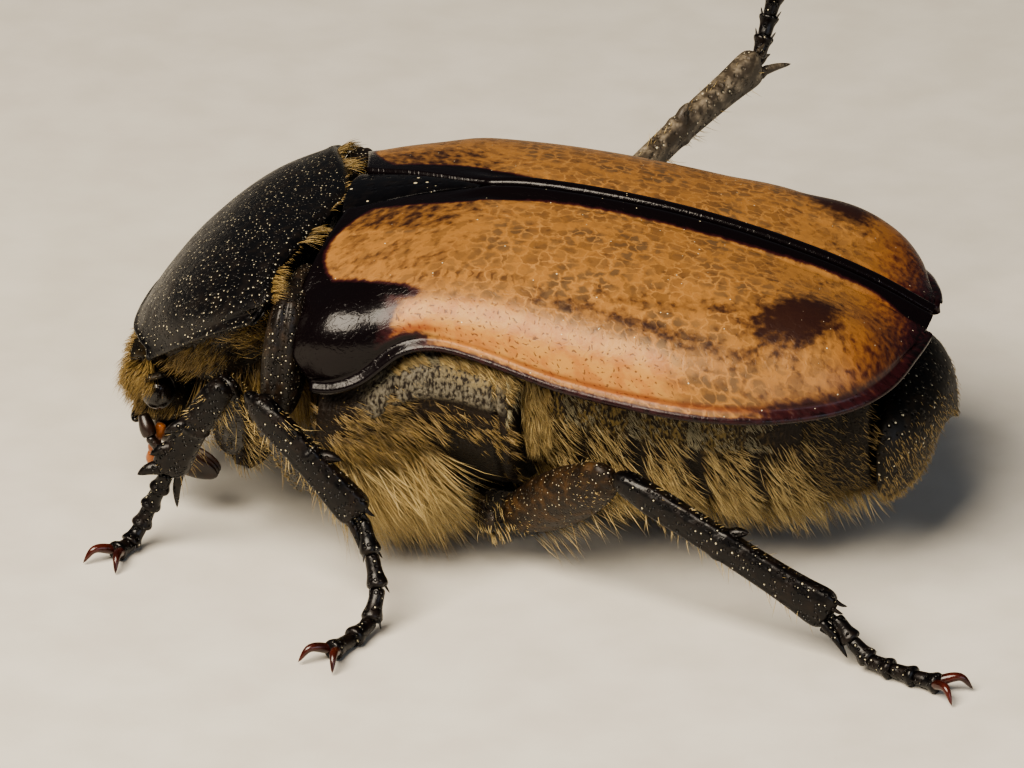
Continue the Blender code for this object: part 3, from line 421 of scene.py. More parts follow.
def path_points(points, steps):
    """Points spaced evenly along a smooth curve through the given ones."""
    points = np.array(points, float)
    lengths = np.concatenate([[0], np.linalg.norm(np.diff(points, axis=0), axis=1).cumsum()])
    places = np.linspace(0, lengths[-1], steps + 1)
    return np.stack([curve(list(zip(lengths, points[:, k])), places) for k in range(3)], -1)


def limb_frame(path, depth_axis):
    """Directions along a path, to its side and through its depth."""
    tangent = unit(np.gradient(path, axis=0))
    side = unit(np.cross(tangent, np.array(depth_axis, float)))
    deep = unit(np.cross(side, tangent))
    return tangent, side, deep


def limb(name, points, depth_axis, depths, widths, rows=48, columns=28, lift=None, squareness=2.0):
    """A closed limb along a path. Depths and widths are tables over the share of its length."""
    path = path_points(points, rows)
    _, side, deep = limb_frame(path, depth_axis)
    share = np.linspace(0, 1, rows + 1)
    cap = np.sqrt(np.clip(1 - (np.abs(share - 0.5) * 2) ** 16, 0, 1))
    half_depth = (curve(depths, share) * cap)[:, None, None]
    half_width = (curve(widths, share) * cap)[:, None, None]

    def place(u, v):
        angle = 2 * math.pi * v
        c = power(np.cos(angle), 2 / squareness)[..., None]
        s = power(np.sin(angle), 2 / squareness)[..., None]
        return path[:, None] + deep[:, None] * half_depth * c + side[:, None] * half_width * s

    return sheet(name, rows, columns, place, lift)


def spike(points, radius, sides=10):
    """A curved cone, for a claw, a spur or a tooth."""
    table = [(0, radius), (0.35, radius * 0.92), (0.75, radius * 0.55), (1.0, radius * 0.12)]
    return limb("spike", points, (0.13, 0.21, 0.97), table, table, 14, sides)


def ball(name, centre, radii, segments=32, rings=20):
    select()
    sphere = {"segments": segments, "ring_count": rings, "radius": MM}
    bpy.ops.mesh.primitive_uv_sphere_add(**sphere, location=Vector(world(centre)), scale=radii)
    bpy.ops.object.transform_apply()
    bpy.ops.object.shade_smooth()
    bpy.context.object.name = name
    return bpy.context.object


def join(name, things):
    select(*things)
    bpy.ops.object.join()
    things[0].name = name
    return things[0]


def smoothed_copy(name, node):
    """A finer copy of a plain solid, rounded by subdivision."""
    thing = frame["nodes"][node].copy()
    thing.data = thing.data.copy()
    thing.name = name
    thing.data.materials.clear()
    for key in list(thing.keys()):
        del thing[key]
    thing.parent = None
    bpy.context.collection.objects.link(thing)
    select(thing)
    bpy.ops.object.mode_set(mode="EDIT")
    bpy.ops.mesh.select_all(action="SELECT")
    bpy.ops.mesh.remove_doubles(threshold=1e-6)
    bpy.ops.mesh.tris_convert_to_quads()
    bpy.ops.object.mode_set(mode="OBJECT")
    finer = thing.modifiers.new("finer", "SUBSURF")
    finer.levels = finer.render_levels = 2
    bpy.ops.object.modifier_apply(modifier="finer")
    bpy.ops.object.shade_smooth()
    return thing



ROOT_DEPTH = 0.05
TUFT_PULL = 0.3  # how far the tips are drawn to their tuft's middle
TUFT_SWAY = 0.16
HAIR_SWAY = 0.11


def coat(name, roots, normals, lies, lengths, radii, rises, clumps, places, dice):
    """Hair as one mesh of thin tapered blades. Their tips are drawn together in tufts."""
    count, sides = len(roots), 3
    cells = np.floor(roots / clumps[:, None] + dice.uniform(0, 1, 3))
    _, tuft = np.unique(cells, axis=0, return_inverse=True)
    tuft = tuft.ravel()
    tally = np.bincount(tuft)[:, None]
    centres = np.stack([np.bincount(tuft, roots[:, k]) for k in range(3)], -1) / tally
    sway = dice.normal(0, TUFT_SWAY, (len(tally), 3))
    heading = unit(unit(lies) + sway[tuft] + dice.normal(0, HAIR_SWAY, (count, 3)))
    pull = (centres[tuft] - roots) * TUFT_PULL
    size, rise = lengths[:, None], rises[:, None]
    points = [roots - normals * ROOT_DEPTH]
    for share, lean in ((0.33, 1.0), (0.34, 0.35), (0.33, -0.35)):
        points.append(points[-1] + unit(heading + normals * rise * lean) * size * share + pull / 3)
    side = unit(np.cross(heading, normals) + dice.normal(0, 0.3, (count, 3)))
    up = unit(np.cross(side, heading))
    rings = []
    for point, width in zip(points[:3], (1.0, 0.85, 0.6)):
        for k in range(sides):
            angle = 2 * math.pi * k / sides
            rings.append(point + (side * math.cos(angle) + up * math.sin(angle)) * radii[:, None] * width)
    per = sides * 3 + 1
    verts = np.stack(rings + [points[3]], 1).reshape(-1, 3)
    verts[:, 2] = np.maximum(verts[:, 2], FLOOR_CLEARANCE)
    quads, tris = [], [(2, 1, 0)]
    for k in range(sides):
        after = (k + 1) % sides
        for ring in (0, sides):
            quads.append((ring + k, ring + after, ring + after + sides, ring + k + sides))
        tris.append((2 * sides + k, 2 * sides + after, per - 1))
    base = np.arange(count)[:, None, None] * per
    quads = (np.array(quads)[None] + base).reshape(-1, 4)
    tris = (np.array(tris)[None] + base).reshape(-1, 3)
    mesh = bpy.data.meshes.new(name)
    mesh.vertices.add(len(verts))
    mesh.vertices.foreach_set("co", world(verts).ravel())
    corners = np.concatenate([quads.ravel(), tris.ravel()])
    mesh.loops.add(len(corners))
    mesh.loops.foreach_set("vertex_index", corners)
    starts = np.concatenate([np.arange(len(quads)) * 4, len(quads) * 4 + np.arange(len(tris)) * 3])
    mesh.polygons.add(len(starts))
    mesh.polygons.foreach_set("loop_start", starts)
    mesh.update(calc_edges=True)
    mesh.validate()
    spot = np.linspace(0, 0.003, per)[:, None] * np.array([1.0, 0.4])
    spots = (np.clip(places, 0, 0.997)[:, None] + spot[None]).reshape(-1, 2)
    mesh.uv_layers.new(name="OFBake").data.foreach_set("uv", spots[corners].ravel())
    shade = np.zeros((count, per, 4))
    shade[..., 0] = np.repeat([0.0, 0.4, 0.75, 1.0], [sides, sides, sides, 1])
    shade[..., 1] = dice.uniform(0, 1, (count, 1))
    shade[..., 3] = 1.0
    mesh.attributes.new("marks", "FLOAT_COLOR", "POINT").data.foreach_set("color", shade.ravel())
    mesh.shade_smooth()
    thing = bpy.data.objects.new(name, mesh)
    bpy.context.collection.objects.link(thing)
    return thing


def surface_frame(surface, u, v, inside):
    """Places on a surface, and its normals away from a point inside it or from the body's middle line."""
    small = 1e-3
    here = surface(u, v)
    normal = unit(np.cross(surface(u + small, v) - here, surface(u, v + small) - here))
    middle = here * [1, 0, 0] + [0, 0, BODY_MIDDLE] if inside is None else np.array(inside)
    return here, normal * np.sign(np.sum(normal * (here - middle), axis=-1, keepdims=True))


# Materials


def hexa(code):
    """Linear colour of an sRGB hex code."""
    values = [int(code[i : i + 2], 16) / 255 for i in (1, 3, 5)]
    return (*[v / 12.92 if v <= 0.04045 else ((v + 0.055) / 1.055) ** 2.4 for v in values], 1.0)


def add(tree, kind, links=None, output=0, **settings):
    """Add a node with its settings and links, and give back one output. A link is a value or another output."""
    made = tree.nodes.new("ShaderNode" + kind)
    for key, value in settings.items():
        setattr(made, key, value)
    for key, value in (links or {}).items():
        if isinstance(value, bpy.types.NodeSocket):
            tree.links.new(value, made.inputs[key])
        else:
            made.inputs[key].default_value = value
    return made.outputs[output]


def new_material(name, **values):
    """A material whose shader has its plain numbers set."""
    material = bpy.data.materials.new(name)
    material.use_nodes = True
    shader = material.node_tree.nodes["Principled BSDF"]
    for key, value in values.items():
        shader.inputs[key.replace("_", " ")].default_value = value
    return material, material.node_tree, shader


def shares(tree, attribute):
    """The three channels that were painted on the mesh."""
    painted = add(tree, "Attribute", output="Color", attribute_name=attribute)
    split = add(tree, "SeparateColor", {"Color": painted}).node
    return split.outputs[0], split.outputs[1], split.outputs[2]


def stain(tree, colour, *layers):
    """Lay colours over one another. Each has a mask, its low and high, and a strength if that isn't 1."""
    for over, mask, low, high, *strength in layers:
        links = {"Value": mask, "From Min": low, "From Max": high, "To Max": strength[0] if strength else 1.0}
        share = add(tree, "MapRange", links, interpolation_type="SMOOTHSTEP")
        under, over = [hexa(c) if isinstance(c, str) else c for c in (colour, over)]
        colour = add(tree, "Mix", {0: share, 6: under, 7: over}, 2, data_type="RGBA")
    return colour


def relief(tree, shader, depth, rows, strength=0.8):
    """Raise and sink the surface. Each row is a mask, its low and high, and its lift in shares of depth."""
    height = 0.0
    for mask, low, high, lift in rows:
        links = {"Value": mask, "From Min": low, "From Max": high, "To Max": lift}
        raised = add(tree, "MapRange", links, interpolation_type="SMOOTHSTEP")
        height = add(tree, "Math", {0: raised, 1: height})
    bump = add(tree, "Bump", {"Height": height, "Strength": strength, "Distance": depth * MM})
    tree.links.new(bump, shader.inputs["Normal"])


def object_place(tree, size, stretch=(1.0, 1.0, 1.0)):
    """Object coordinates scaled so that one unit is a size in millimetres."""
    scale = tuple(s / (size * MM) for s in stretch)
    place = add(tree, "TexCoord", output="Object")
    return add(tree, "Mapping", {"Vector": place, "Scale": scale})


def pits(tree, spacing, jitter=0.9):
    """Distance from the nearest pit in shares of their spacing, and a random value for each pit."""
    links = {"Vector": object_place(tree, spacing), "Scale": 1.0, "Randomness": jitter}
    cells = add(tree, "TexVoronoi", links).node
    return cells.outputs["Distance"], add(tree, "SeparateColor", {"Color": cells.outputs["Color"]})


def grains(tree, spacing, share, radius):
    """Dust in a share of the cells: 1 on a grain, 0 elsewhere. Each grain has a size of its own."""
    distance, chance = pits(tree, spacing, 1.0)
    room = add(tree, "MapRange", {"Value": chance, "From Max": share, "To Min": radius, "To Max": 0.0})
    return add(tree, "Math", {0: room, 1: distance}, operation="SUBTRACT")


def wing_case_chitin():
    """Horny shell: a clear satin skin over tan horn, with a pale net round brown cells and small dark pits."""
    values = {"Coat_Weight": 0.05, "Coat_Roughness": 0.2, "Specular_IOR_Level": 0.3}
    material, tree, shader = new_material("wing_case_chitin", **values)
    surface = add(tree, "UVMap", output="UV", uv_map="UVMap")
    dark, side, smoke = shares(tree, "marks")
    red, net, ticks = shares(tree, "tones")
    broad = add(tree, "TexNoise", {"Vector": surface, "Scale": 0.8, "Detail": 3.0})
    patchy = add(tree, "TexNoise", {"Vector": surface, "Scale": 2.1, "Detail": 4.0, "Roughness": 0.6})
    fine = add(tree, "TexNoise", {"Vector": surface, "Scale": 6.0, "Detail": 4.0})
    drift = add(tree, "TexNoise", {"Vector": surface, "Scale": 4.5, "Detail": 4.0}, "Color")
    warped = add(tree, "VectorMath", {0: drift, 1: (0.42, 0.42, 0.0), 2: surface}, operation="MULTIPLY_ADD")
    dust = grains(tree, 0.13, 0.3, 0.15)

    # Horn between the seam and the side: cells with a pale net round them
    rows = add(tree, "Mapping", {"Vector": warped, "Scale": (1 / NET_LENGTH, 1 / NET_WIDTH, 1.0)})
    rows = {"Vector": rows, "Scale": 1.0, "Randomness": 0.7}
    web = add(tree, "TexVoronoi", rows, voronoi_dimensions="2D", feature="DISTANCE_TO_EDGE")
    cell = add(tree, "TexVoronoi", rows, voronoi_dimensions="2D").node.outputs
    chance = add(tree, "SeparateColor", {"Color": cell["Color"]})
    filled = add(tree, "MapRange", {"Value": broad, "From Min": 0.62, "From Max": 0.42, "To Max": net})
    faint = add(tree, "MapRange", {"Value": patchy, "From Min": 0.34, "From Max": 0.62, "To Max": net})
    horn = stain(
        tree,
        HORN,
        (HORN_WORN, patchy, 0.5, 0.62, 0.6),
        (HORN_CELL, cell["Distance"], 0.52, 0.22, filled),
        (HORN_DEEP, chance, 0.55, 1.0, 0.45),
        (HORN_LINE, web, 0.12, 0.02, faint),
        (HORN_DEEP, fine, 0.52, 0.72, 0.55),
    )

    # The smooth side, with small dark pits. Its paler rose is partly the horn's own colour and partly a painted
    # sheen where the softbox reflects.
    dots = add(tree, "Mapping", {"Vector": warped, "Scale": (1 / DOT_SPACING, 1 / DOT_SPACING, 1.0)})
    dots = {"Vector": dots, "Scale": 1.0, "Randomness": 0.6}
    dot = add(tree, "TexVoronoi", dots, voronoi_dimensions="2D")
    rose_and_sheen = stain(tree, ROSE_AND_SHEEN, (ROSE_WARM, patchy, 0.4, 0.62), (ROSE_PIT, dot, 0.2, 0.08, 0.75))

    # Short ticks, ragged smoke and the dark edges
    wave = add(tree, "SeparateXYZ", {"Vector": surface})
    shift = add(tree, "Math", {0: fine, 1: 12.0}, operation="MULTIPLY")
    wave = add(tree, "Math", {0: wave, 1: 2 * math.pi / TICK_SPACING, 2: shift}, operation="MULTIPLY_ADD")
    wave = add(tree, "Math", {0: wave}, operation="SINE")
    ragged = add(tree, "Math", {0: patchy, 1: 1.0, 2: -1.1}, operation="MULTIPLY_ADD")
    ragged = add(tree, "Math", {0: fine, 1: 1.2, 2: ragged}, operation="MULTIPLY_ADD")
    ragged = add(tree, "Math", {0: ragged, 1: smoke})
    edge = add(tree, "Math", {0: fine, 1: 0.6, 2: -0.3}, operation="MULTIPLY_ADD")
    edge = add(tree, "Math", {0: edge, 1: dark})
    colour = stain(
        tree,
        horn,
        # the rosy side, partly its own colour and partly a painted sheen
        (rose_and_sheen, side, 0.1, 0.8),
        (SMOKE, wave, 0.0, 1.0, ticks),
        (SMOKE, ragged, 0.15, 0.95, 0.97),
        (RED_BROWN, red, 0.15, 0.85, 0.85),
        (PURPLE_BROWN, edge, 0.12, 0.5),
        (BLACK_PURPLE, edge, 0.42, 0.8),
        (DUST, dust, 0.0, 0.06, 0.9),
    )
    tree.links.new(colour, shader.inputs["Base Color"])
    rough = {"Value": edge, "From Min": 0.3, "From Max": 0.8, "To Min": 0.4, "To Max": 0.2}
    tree.links.new(add(tree, "MapRange", rough), shader.inputs["Roughness"])
    lifts = [(dot, 0.24, 0.08, -0.5), (web, 0.16, 0.05, 0.3), (fine, 0.2, 0.8, 0.7), (dust, 0, 0.06, 1.0)]
    relief(tree, shader, 0.012, lifts, 0.35)
    return material


def black_chitin(name, base, tint, spacing, depth, roughness, dust, level=0.4):
    """Thick black insect shell: polished between round pits, and pale dust that has settled in some of them."""
    material, tree, shader = new_material(name, Specular_IOR_Level=level)
    distance, chance = pits(tree, spacing)
    grain = add(tree, "TexNoise", {"Vector": object_place(tree, 0.25), "Scale": 1.0, "Detail": 4.0})
    sunk = add(tree, "MapRange", {"Value": chance, "From Max": dust, "To Min": 0.24, "To Max": 0.08})
    sunk = add(tree, "Math", {0: sunk, 1: distance}, operation="SUBTRACT")
    loose = grains(tree, 0.1, dust * 0.5, 0.2)
    layers = (tint, grain, 0.42, 0.75), (DUST, sunk, 0.0, 0.08, 0.85), (DUST, loose, 0.0, 0.08, 0.9)
    colour = stain(tree, base, *layers)
    tree.links.new(colour, shader.inputs["Base Color"])
    rough = {"Value": grain, "From Min": 0.3, "From Max": 0.8, "To Min": roughness, "To Max": roughness + 0.16}
    tree.links.new(add(tree, "MapRange", rough), shader.inputs["Roughness"])
    relief(tree, shader, depth, [(distance, 0.42, 0.2, -1.0), (grain, 0.3, 0.7, 0.2), (loose, 0.0, 0.1, 0.6)])
    return material


def felted_chitin():
    """Rough belly shell under short down, too fine to model everywhere: silvery, golden or rubbed bare."""
    material, tree, shader = new_material("felted_chitin", Roughness=0.6, Specular_IOR_Level=0.3)
    silver, gold, bare = shares(tree, "marks")
    distance, _ = pits(tree, 0.1)
    strands = object_place(tree, 0.055, (1.0, 1.0, 0.5))
    fac = add(tree, "TexNoise", {"Vector": strands, "Scale": 1.0, "Detail": 5.0})
    broad = add(tree, "TexNoise", {"Vector": object_place(tree, 0.8), "Scale": 1.0, "Detail": 3.0})
    colour = stain(
        tree,
        SHELL_BROWN,
        ("#4A3C26", fac, 0.48, 0.7),
        (SHELL_BROWN, broad, 0.45, 0.62),
        ("#6E685A", fac, 0.36, 0.6, silver),
        ("#7C6A40", fac, 0.4, 0.64, gold),
        ("#140F09", bare, 0.2, 0.9, 0.9),
        ("#A08A54", grains(tree, 0.11, 0.5, 0.2), 0.0, 0.1, 0.7),
    )
    tree.links.new(colour, shader.inputs["Base Color"])
    relief(tree, shader, 0.03, [(distance, 0.4, 0.2, -0.6), (fac, 0.2, 0.8, 1.0)])
    return material


def hair(name, root, tip, other):
    """Fine horny bristle: darker at the root, paler and a little glassy at the tip, each one its own shade."""
    material, tree, shader = new_material(name, Roughness=0.4, Specular_IOR_Level=0.6)
    along, chance, _ = shares(tree, "marks")
    colour = stain(tree, root, (tip, along, 0.0, 0.7), (other, chance, 0.35, 1.0))
    tree.links.new(colour, shader.inputs["Base Color"])
    return material


def plain_chitin(name, base, tint, roughness):
    """Thin smooth shell of the small joints, brown where it is thin."""
    material, tree, shader = new_material(name, Roughness=roughness, Coat_Weight=0.2)
    grain = add(tree, "TexNoise", {"Vector": object_place(tree, 0.3), "Scale": 1.0, "Detail": 4.0})
    tree.links.new(stain(tree, base, (tint, grain, 0.35, 0.7)), shader.inputs["Base Color"])
    relief(tree, shader, 0.015, [(grain, 0.2, 0.8, 1.0)], 0.4)
    return material


def faceted_eye():
    """The cornea of a compound eye: a glassy black dome of fine round lenses, here 0.04 mm apart."""
    values = {"Base_Color": hexa("#0E0806"), "Roughness": 0.16, "Coat_Weight": 0.4}
    material, tree, shader = new_material("eye_cornea", **values)
    distance, _ = pits(tree, 0.04, 0.15)
    relief(tree, shader, 0.006, [(distance, 0.6, 0.1, 1.0)], 0.4)
    return material


def card():
    """Matt cream card under the model, with the faint mottle of paper fibre."""
    material, tree, shader = new_material("matt_card", Roughness=0.85)
    fibre = add(tree, "TexNoise", {"Vector": object_place(tree, 1.5), "Scale": 1.0, "Detail": 6.0})
    tree.links.new(stain(tree, "#CFCAC0", ("#DAD6CD", fibre, 0.2, 0.8)), shader.inputs["Base Color"])
    return material


# Sizes of the wing cases' net, ticks and dots in millimetres, and the colours of their horn
NET_LENGTH = 0.27
NET_WIDTH = 0.25
TICK_SPACING = 0.2
DOT_SPACING = TICK_SPACING / 1.4
HORN = "#94693A"
HORN_WORN = "#7E5833"
HORN_CELL = "#5F4A34"
HORN_DEEP = "#573F28"
HORN_LINE = "#A67A48"
# The rosy side's colour, partly the horn's own paler tone and partly a painted sheen of the softbox
ROSE_AND_SHEEN = "#AE8046"
ROSE_WARM = "#A26C3A"
ROSE_PIT = "#46261A"
RED_BROWN = "#743318"
SMOKE = "#281413"
PURPLE_BROWN = "#331417"
BLACK_PURPLE = "#0D0709"
DUST = "#D8CFB2"
SHELL_BROWN = "#1C130C"

WING_CASE = wing_case_chitin()
SHIELD = black_chitin("pronotum_chitin", "#0B0A0C", "#1B1613", 0.085, 0.025, 0.27, 0.98, 0.3)
GLOSSY = black_chitin("scutellum_chitin", "#070608", "#14100F", 0.2, 0.012, 0.16, 0.3)
ROUGH = black_chitin("mesepimeron_chitin", "#15100D", "#33271C", 0.08, 0.05, 0.36, 0.9, 0.4)
LIMB = black_chitin("leg_chitin", "#080607", "#1A120E", 0.1, 0.05, 0.26, 0.55, 0.35)
# Painted sheen: the black shin of the raised right hind leg gets a pale grey base and tint that stand in for the
# reflections on its glossy ridges; the pale specks in its pits are dust
PAINTED_SHEEN_LIMB = black_chitin("leg_chitin_painted_sheen", "#3E362C", "#8F8370", 0.13, 0.03, 0.42, 0.7)
DULL_LIMB = black_chitin("thigh_chitin", "#1E150D", "#4A351E", 0.075, 0.04, 0.4, 0.8, 0.3)
FELT = felted_chitin()
TAIL = black_chitin("pygidium_chitin", "#0D0A07", "#221A10", 0.12, 0.03, 0.45, 0.7, 0.3)
HEAD = black_chitin("head_chitin", "#14100A", "#3A2E1A", 0.07, 0.03, 0.45, 0.9, 0.3)
JOINT = plain_chitin("antenna_chitin", "#140B08", "#2A170E", 0.36)
PALP = plain_chitin("palp_chitin", "#7E4420", "#A2622E", 0.34)
CLAW = plain_chitin("claw_chitin", "#2A0F0A", "#4C1C12", 0.22)
CORNEA = faceted_eye()
STRAW = hair("straw_bristle", "#4C3D22", "#CDB680", "#90784A")
GOLD = hair("gold_bristle", "#362A19", "#A58C58", "#5C4A2C")
GREY = hair("grey_down", "#5B5440", "#B4AA8A", "#7F775E")


def show(thing, material, slot, *nodes):
    """Give a finished piece its material and its body, and hide the plain solids that it stands for. The slot is
    not used.
    """
    thing.data.materials.clear()
    thing.data.materials.append(material)
    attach(thing, BODY)
    if nodes:
        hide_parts(*nodes)
    return thing


# Wing cases and scutellum

WING_CASE_THICKNESS = 0.22
BEAD_WIDTH = 0.2
BEAD_HEIGHT = 0.12

# Lines across a wing case: the way from the seam, by station
SEAM_BAND = [
    (-2.6, 0.12), (-2.15, 0.14), (-0.8, 0.45), (0.08, 0.58), (1.34, 0.4), (4.2, 0.39), (7.27, 0.3), (8.0, 0.5)
]
SHOULDER_BAND = [(-2.8, 2.15), (-2.2, 2.4), (-1.39, 2.82), (-0.44, 3.38), (0.2, 3.6)]
ROSY_TOP = [
    (-1.2, 3.3), (-0.6, 3.5), (0.0, 3.6), (1.0, 3.6), (2.0, 3.82), (3.0, 3.86), (4.0, 3.85), (6.5, 3.85)
]
STRIPE = [(1.2, 3.45), (1.8, 3.5), (3.0, 3.58), (4.5, 3.75), (6.0, 3.7)]
BLOB_ROW = [(1.8, 3.15), (3.4, 3.15), (5.4, 2.75), (6.4, 2.5)]
PALE_LINE = [(-2.46, 0.93), (-0.56, 1.68), (1.82, 1.89), (4.27, 1.53)]
NET_LINE = [(-2.5, 0.95), (-0.5, 1.68), (1.8, 1.9), (8.0, 1.4)]
TICK_ROW = 3.15
SMOKE_PATCHES = [  # station, way from the seam, length, width and strength
    (6.25, 2.66, 0.85, 0.75, 1.35),
    (6.25, 3.4, 0.5, 0.16, 0.5),
    (5.5, 3.75, 1.0, 0.3, 0.5),
]


def wing_case_lift(u, v, points):
    """Swellings, the raised seam with its groove, and the rolled outer rim."""
    across = lengths_along(points, 1)
    from_rim = across[:, -1:] - across
    lift = 0.02 * hill(u, 0.0, 0.012)
    for centre, radius, height, stretch in SWELLINGS:
        offset = points - np.array(centre)
        reach = np.sum(offset**2, axis=-1) - stretch * (offset @ unit(np.array(STRETCH_AXIS))) ** 2
        lift += height * np.maximum(0, 1 - reach / radius**2) ** 2
    behind = smooth(-0.6, 0.9, points[..., 0])
    lift += behind * (0.11 * hill(across, 0.16, 0.15) - 0.03 * hill(across, 0.46, 0.07))
    return lift + BEAD_HEIGHT * hill(from_rim, 0.05, BEAD_WIDTH / 2) - 0.03 * hill(from_rim, 0.24, 0.07)


def wing_case_marks(u, v, points, across):
    """Red: how black it is. Green: the smooth rosy side, paler partly by its own colour and partly by a painted
    sheen. Blue: the smoky stripe and patch.
    """
    x = points[..., 0]
    from_rim = across[:, -1:] - across
    seam_band, shoulder, top, worn = [curve(t, x) for t in (SEAM_BAND, SHOULDER_BAND, ROSY_TOP, PALE_LINE[:3])]
    front = -2.5 + 0.42 * ((across - 1.55) / 1.05) ** 2
    behind_shoulder = 1 - smooth(-1.55, -0.35, x + 0.12 * (across - 3.6))
    dark = np.maximum.reduce([
        1 - smooth(seam_band - 0.05, seam_band + 0.16, across),
        smooth(front + 0.22, front - 0.06, x) * smooth(-1.0, -1.3, x),
        0.62 * (1 - smooth(0.12, 0.2, from_rim)),
        smooth(shoulder - 0.08, shoulder + 0.14, across) * behind_shoulder,
        hill(across, shoulder + 0.16, 0.17) * (1 - smooth(-1.0, -0.1, x)),
        smooth(0.62, 0.3, from_rim) * (1 - smooth(-0.9, 0.3, x)),
        0.42 * smooth(6.9, 8.2, x + 0.18 * np.maximum(across - 2.0, 0)) + 0.3 * smooth(7.95, 8.35, x),
        0.55 * smooth(4.5, 6.5, x) * smooth(0.85, 0.2, from_rim),
    ])
    # The rosy side: partly the smoother horn's own paler colour, partly a painted sheen band where the softbox
    # reflects
    side = smooth(top - 0.14, top + 0.42, across) * window(x, -1.6, -0.5, 3.0, 5.4) * smooth(0.1, 0.4, from_rim)
    smoke = np.maximum.reduce([
        0.62 * hill(across, curve(STRIPE, x), 0.24) * window(x, 0.9, 2.2, 4.8, 6.2),
        0.55 * hill(across, curve(BLOB_ROW, x), 0.22) * window(x, 2.0, 3.6, 5.8, 6.6),
        0.62 * smooth(worn + 0.1, worn - 0.25, across) * (1 - smooth(-0.8, 1.0, x)),
        0.26 * smooth(0.8, -0.8, x) * smooth(3.2, 2.8, across),
        0.3 * smooth(4.5, 7.4, x) * smooth(4.3, 3.4, across),
        *[
            level * hill(x, station, length) * hill(across, arc - 0.5 * (x - station), width)
            for station, arc, length, width, level in SMOKE_PATCHES
        ],
    ])
    return np.stack([dark, side, smoke * (1 - 0.6 * hill(across, curve(PALE_LINE, x), 0.05))], -1)


def wing_case_tones(u, v, points, across):
    """Red: the red-brown of thin horn. Green: how clear the net is. Blue: the ticks by the shoulder stripe."""
    x = points[..., 0]
    from_rim = across[:, -1:] - across
    red = np.maximum.reduce([
        0.6 * hill(from_rim, 0.32, 0.12) * smooth(0.4, 1.6, x),
        0.7 * hill(from_rim, 0.55, 0.12) * window(x, -1.7, -1.3, -0.4, 0.6),
        0.55 * smooth(5.9, 8.1, x),
    ])
    net = 0.3 + 0.6 * window(x, -0.4, 1.0, 5.0, 6.6)
    net = np.maximum(net, 0.9 * hill(across, curve(NET_LINE, x), 0.06))
    ticks = 0.6 * hill(across, TICK_ROW, 0.13) * window(x, -0.9, -0.5, 0.9, 1.9)
    return np.stack([red, net, ticks], -1)


def wing_cases():
    for tail, side in SIDES:
        paint = {"marks": wing_case_marks, "tones": wing_case_tones}
        place = (wing_case_surface, wing_case_lift, side, WING_CASE_THICKNESS, paint)
        show(sheet(f"wing_case_{tail}", 230, 130, *place), WING_CASE, "wing_case", f"elytron_{tail}")


SCUTELLUM_START = -2.45


def scutellum_surface(u, v):
    x = SCUTELLUM_START * (1 - u)
    half = SCUTELLUM_HALF_WIDTH * np.clip((SCUTELLUM_TIP - x) / (SCUTELLUM_TIP - SCUTELLUM_FRONT), 0.0, 1.1)
    half = half * smooth(-0.02, 0.015, u)
    angle = 2 * math.pi * v
    y = half * power(np.cos(angle), 0.7)
    top = curve(BACK_LINE, x) - 0.02 - 0.06 * (y / 0.8) ** 2
    rise = np.sin(angle)
    return joined(x, y, top + np.where(rise > 0, 0.05 * rise * smooth(0, 0.3, half), 0.3 * rise))


def scutellum():
    show(sheet("scutellum_plate", 60, 40, scutellum_surface), GLOSSY, "black_shell", "scutellum")


# Pronotum, its flanks and the plates behind it


def pronotum_lift(u, v, points):
    """Rolled edges: a bead along both sides, stronger at the hind corners, and a rear edge that turns down."""
    across = lengths_along(points, 1)
    edge = np.minimum(across, across[:, -1:] - across)
    corner = hill(u, 0.05, 0.2)
    bead = (0.07 + 0.1 * corner) * hill(edge, 0.05, 0.07 + 0.05 * corner)
    groove = (0.03 + 0.05 * corner) * hill(edge, 0.26, 0.08)
    groove += 0.05 * hill(edge, 0.75, 0.4) * hill(u, 0.12, 0.16)
    rear = 0.09 * hill(u, 0.035, 0.03) * hill(edge, 0.0, 1.0) - 0.16 * np.maximum(0, 1 - u / 0.045) ** 2
    return bead - groove + rear + 0.04 * hill(u, 0.995, 0.01)


def chest_core(u, v):
    """The closed body of the prothorax under its shield."""
    upper = pronotum_surface(0.03 + 0.94 * u, np.clip(v * 2, 0, 1))
    middle = prothorax_place(1.0 + 0 * u, 0 * u, 1.0 + 0 * u)
    upper = middle + (upper - middle) * 0.955
    lower = chest_surface(0.02 + 0.96 * u, np.clip(v * 2 - 1, 0, 1))
    body = np.where((v < 0.5)[..., None], upper, lower)
    centre = body.mean(axis=1, keepdims=True)
    return centre + (body - centre) * np.minimum(smooth(-0.01, 0.02, u), smooth(-0.01, 0.02, 1 - u))[..., None]


def shoulder_plate(u, v):
    """The plate that rises between the pronotum and the shoulder: narrow, with two upright ridges."""
    angle = 2 * math.pi * v
    swell = np.sin(math.pi * u) ** 0.5
    upright = -np.cos(math.pi * u)
    ridges = 1 + 0.1 * hill(np.sin(angle), 0.45, 0.3) - 0.12 * hill(np.sin(angle), 0.0, 0.18)
    x = -2.98 - 0.42 * swell * np.sin(angle) * ridges + 0.12 * upright
    y = 3.26 + 0.8 * swell * np.cos(angle) * ridges - 0.12 * upright
    return joined(x, y, 4.38 + 1.2 * upright)


SHIELD_THICKNESS = 0.12
COLLAR_PLATE = (-2.82, 2.5, 5.2)
COLLAR_PLATE_RADII = (0.3, 0.85, 0.46)


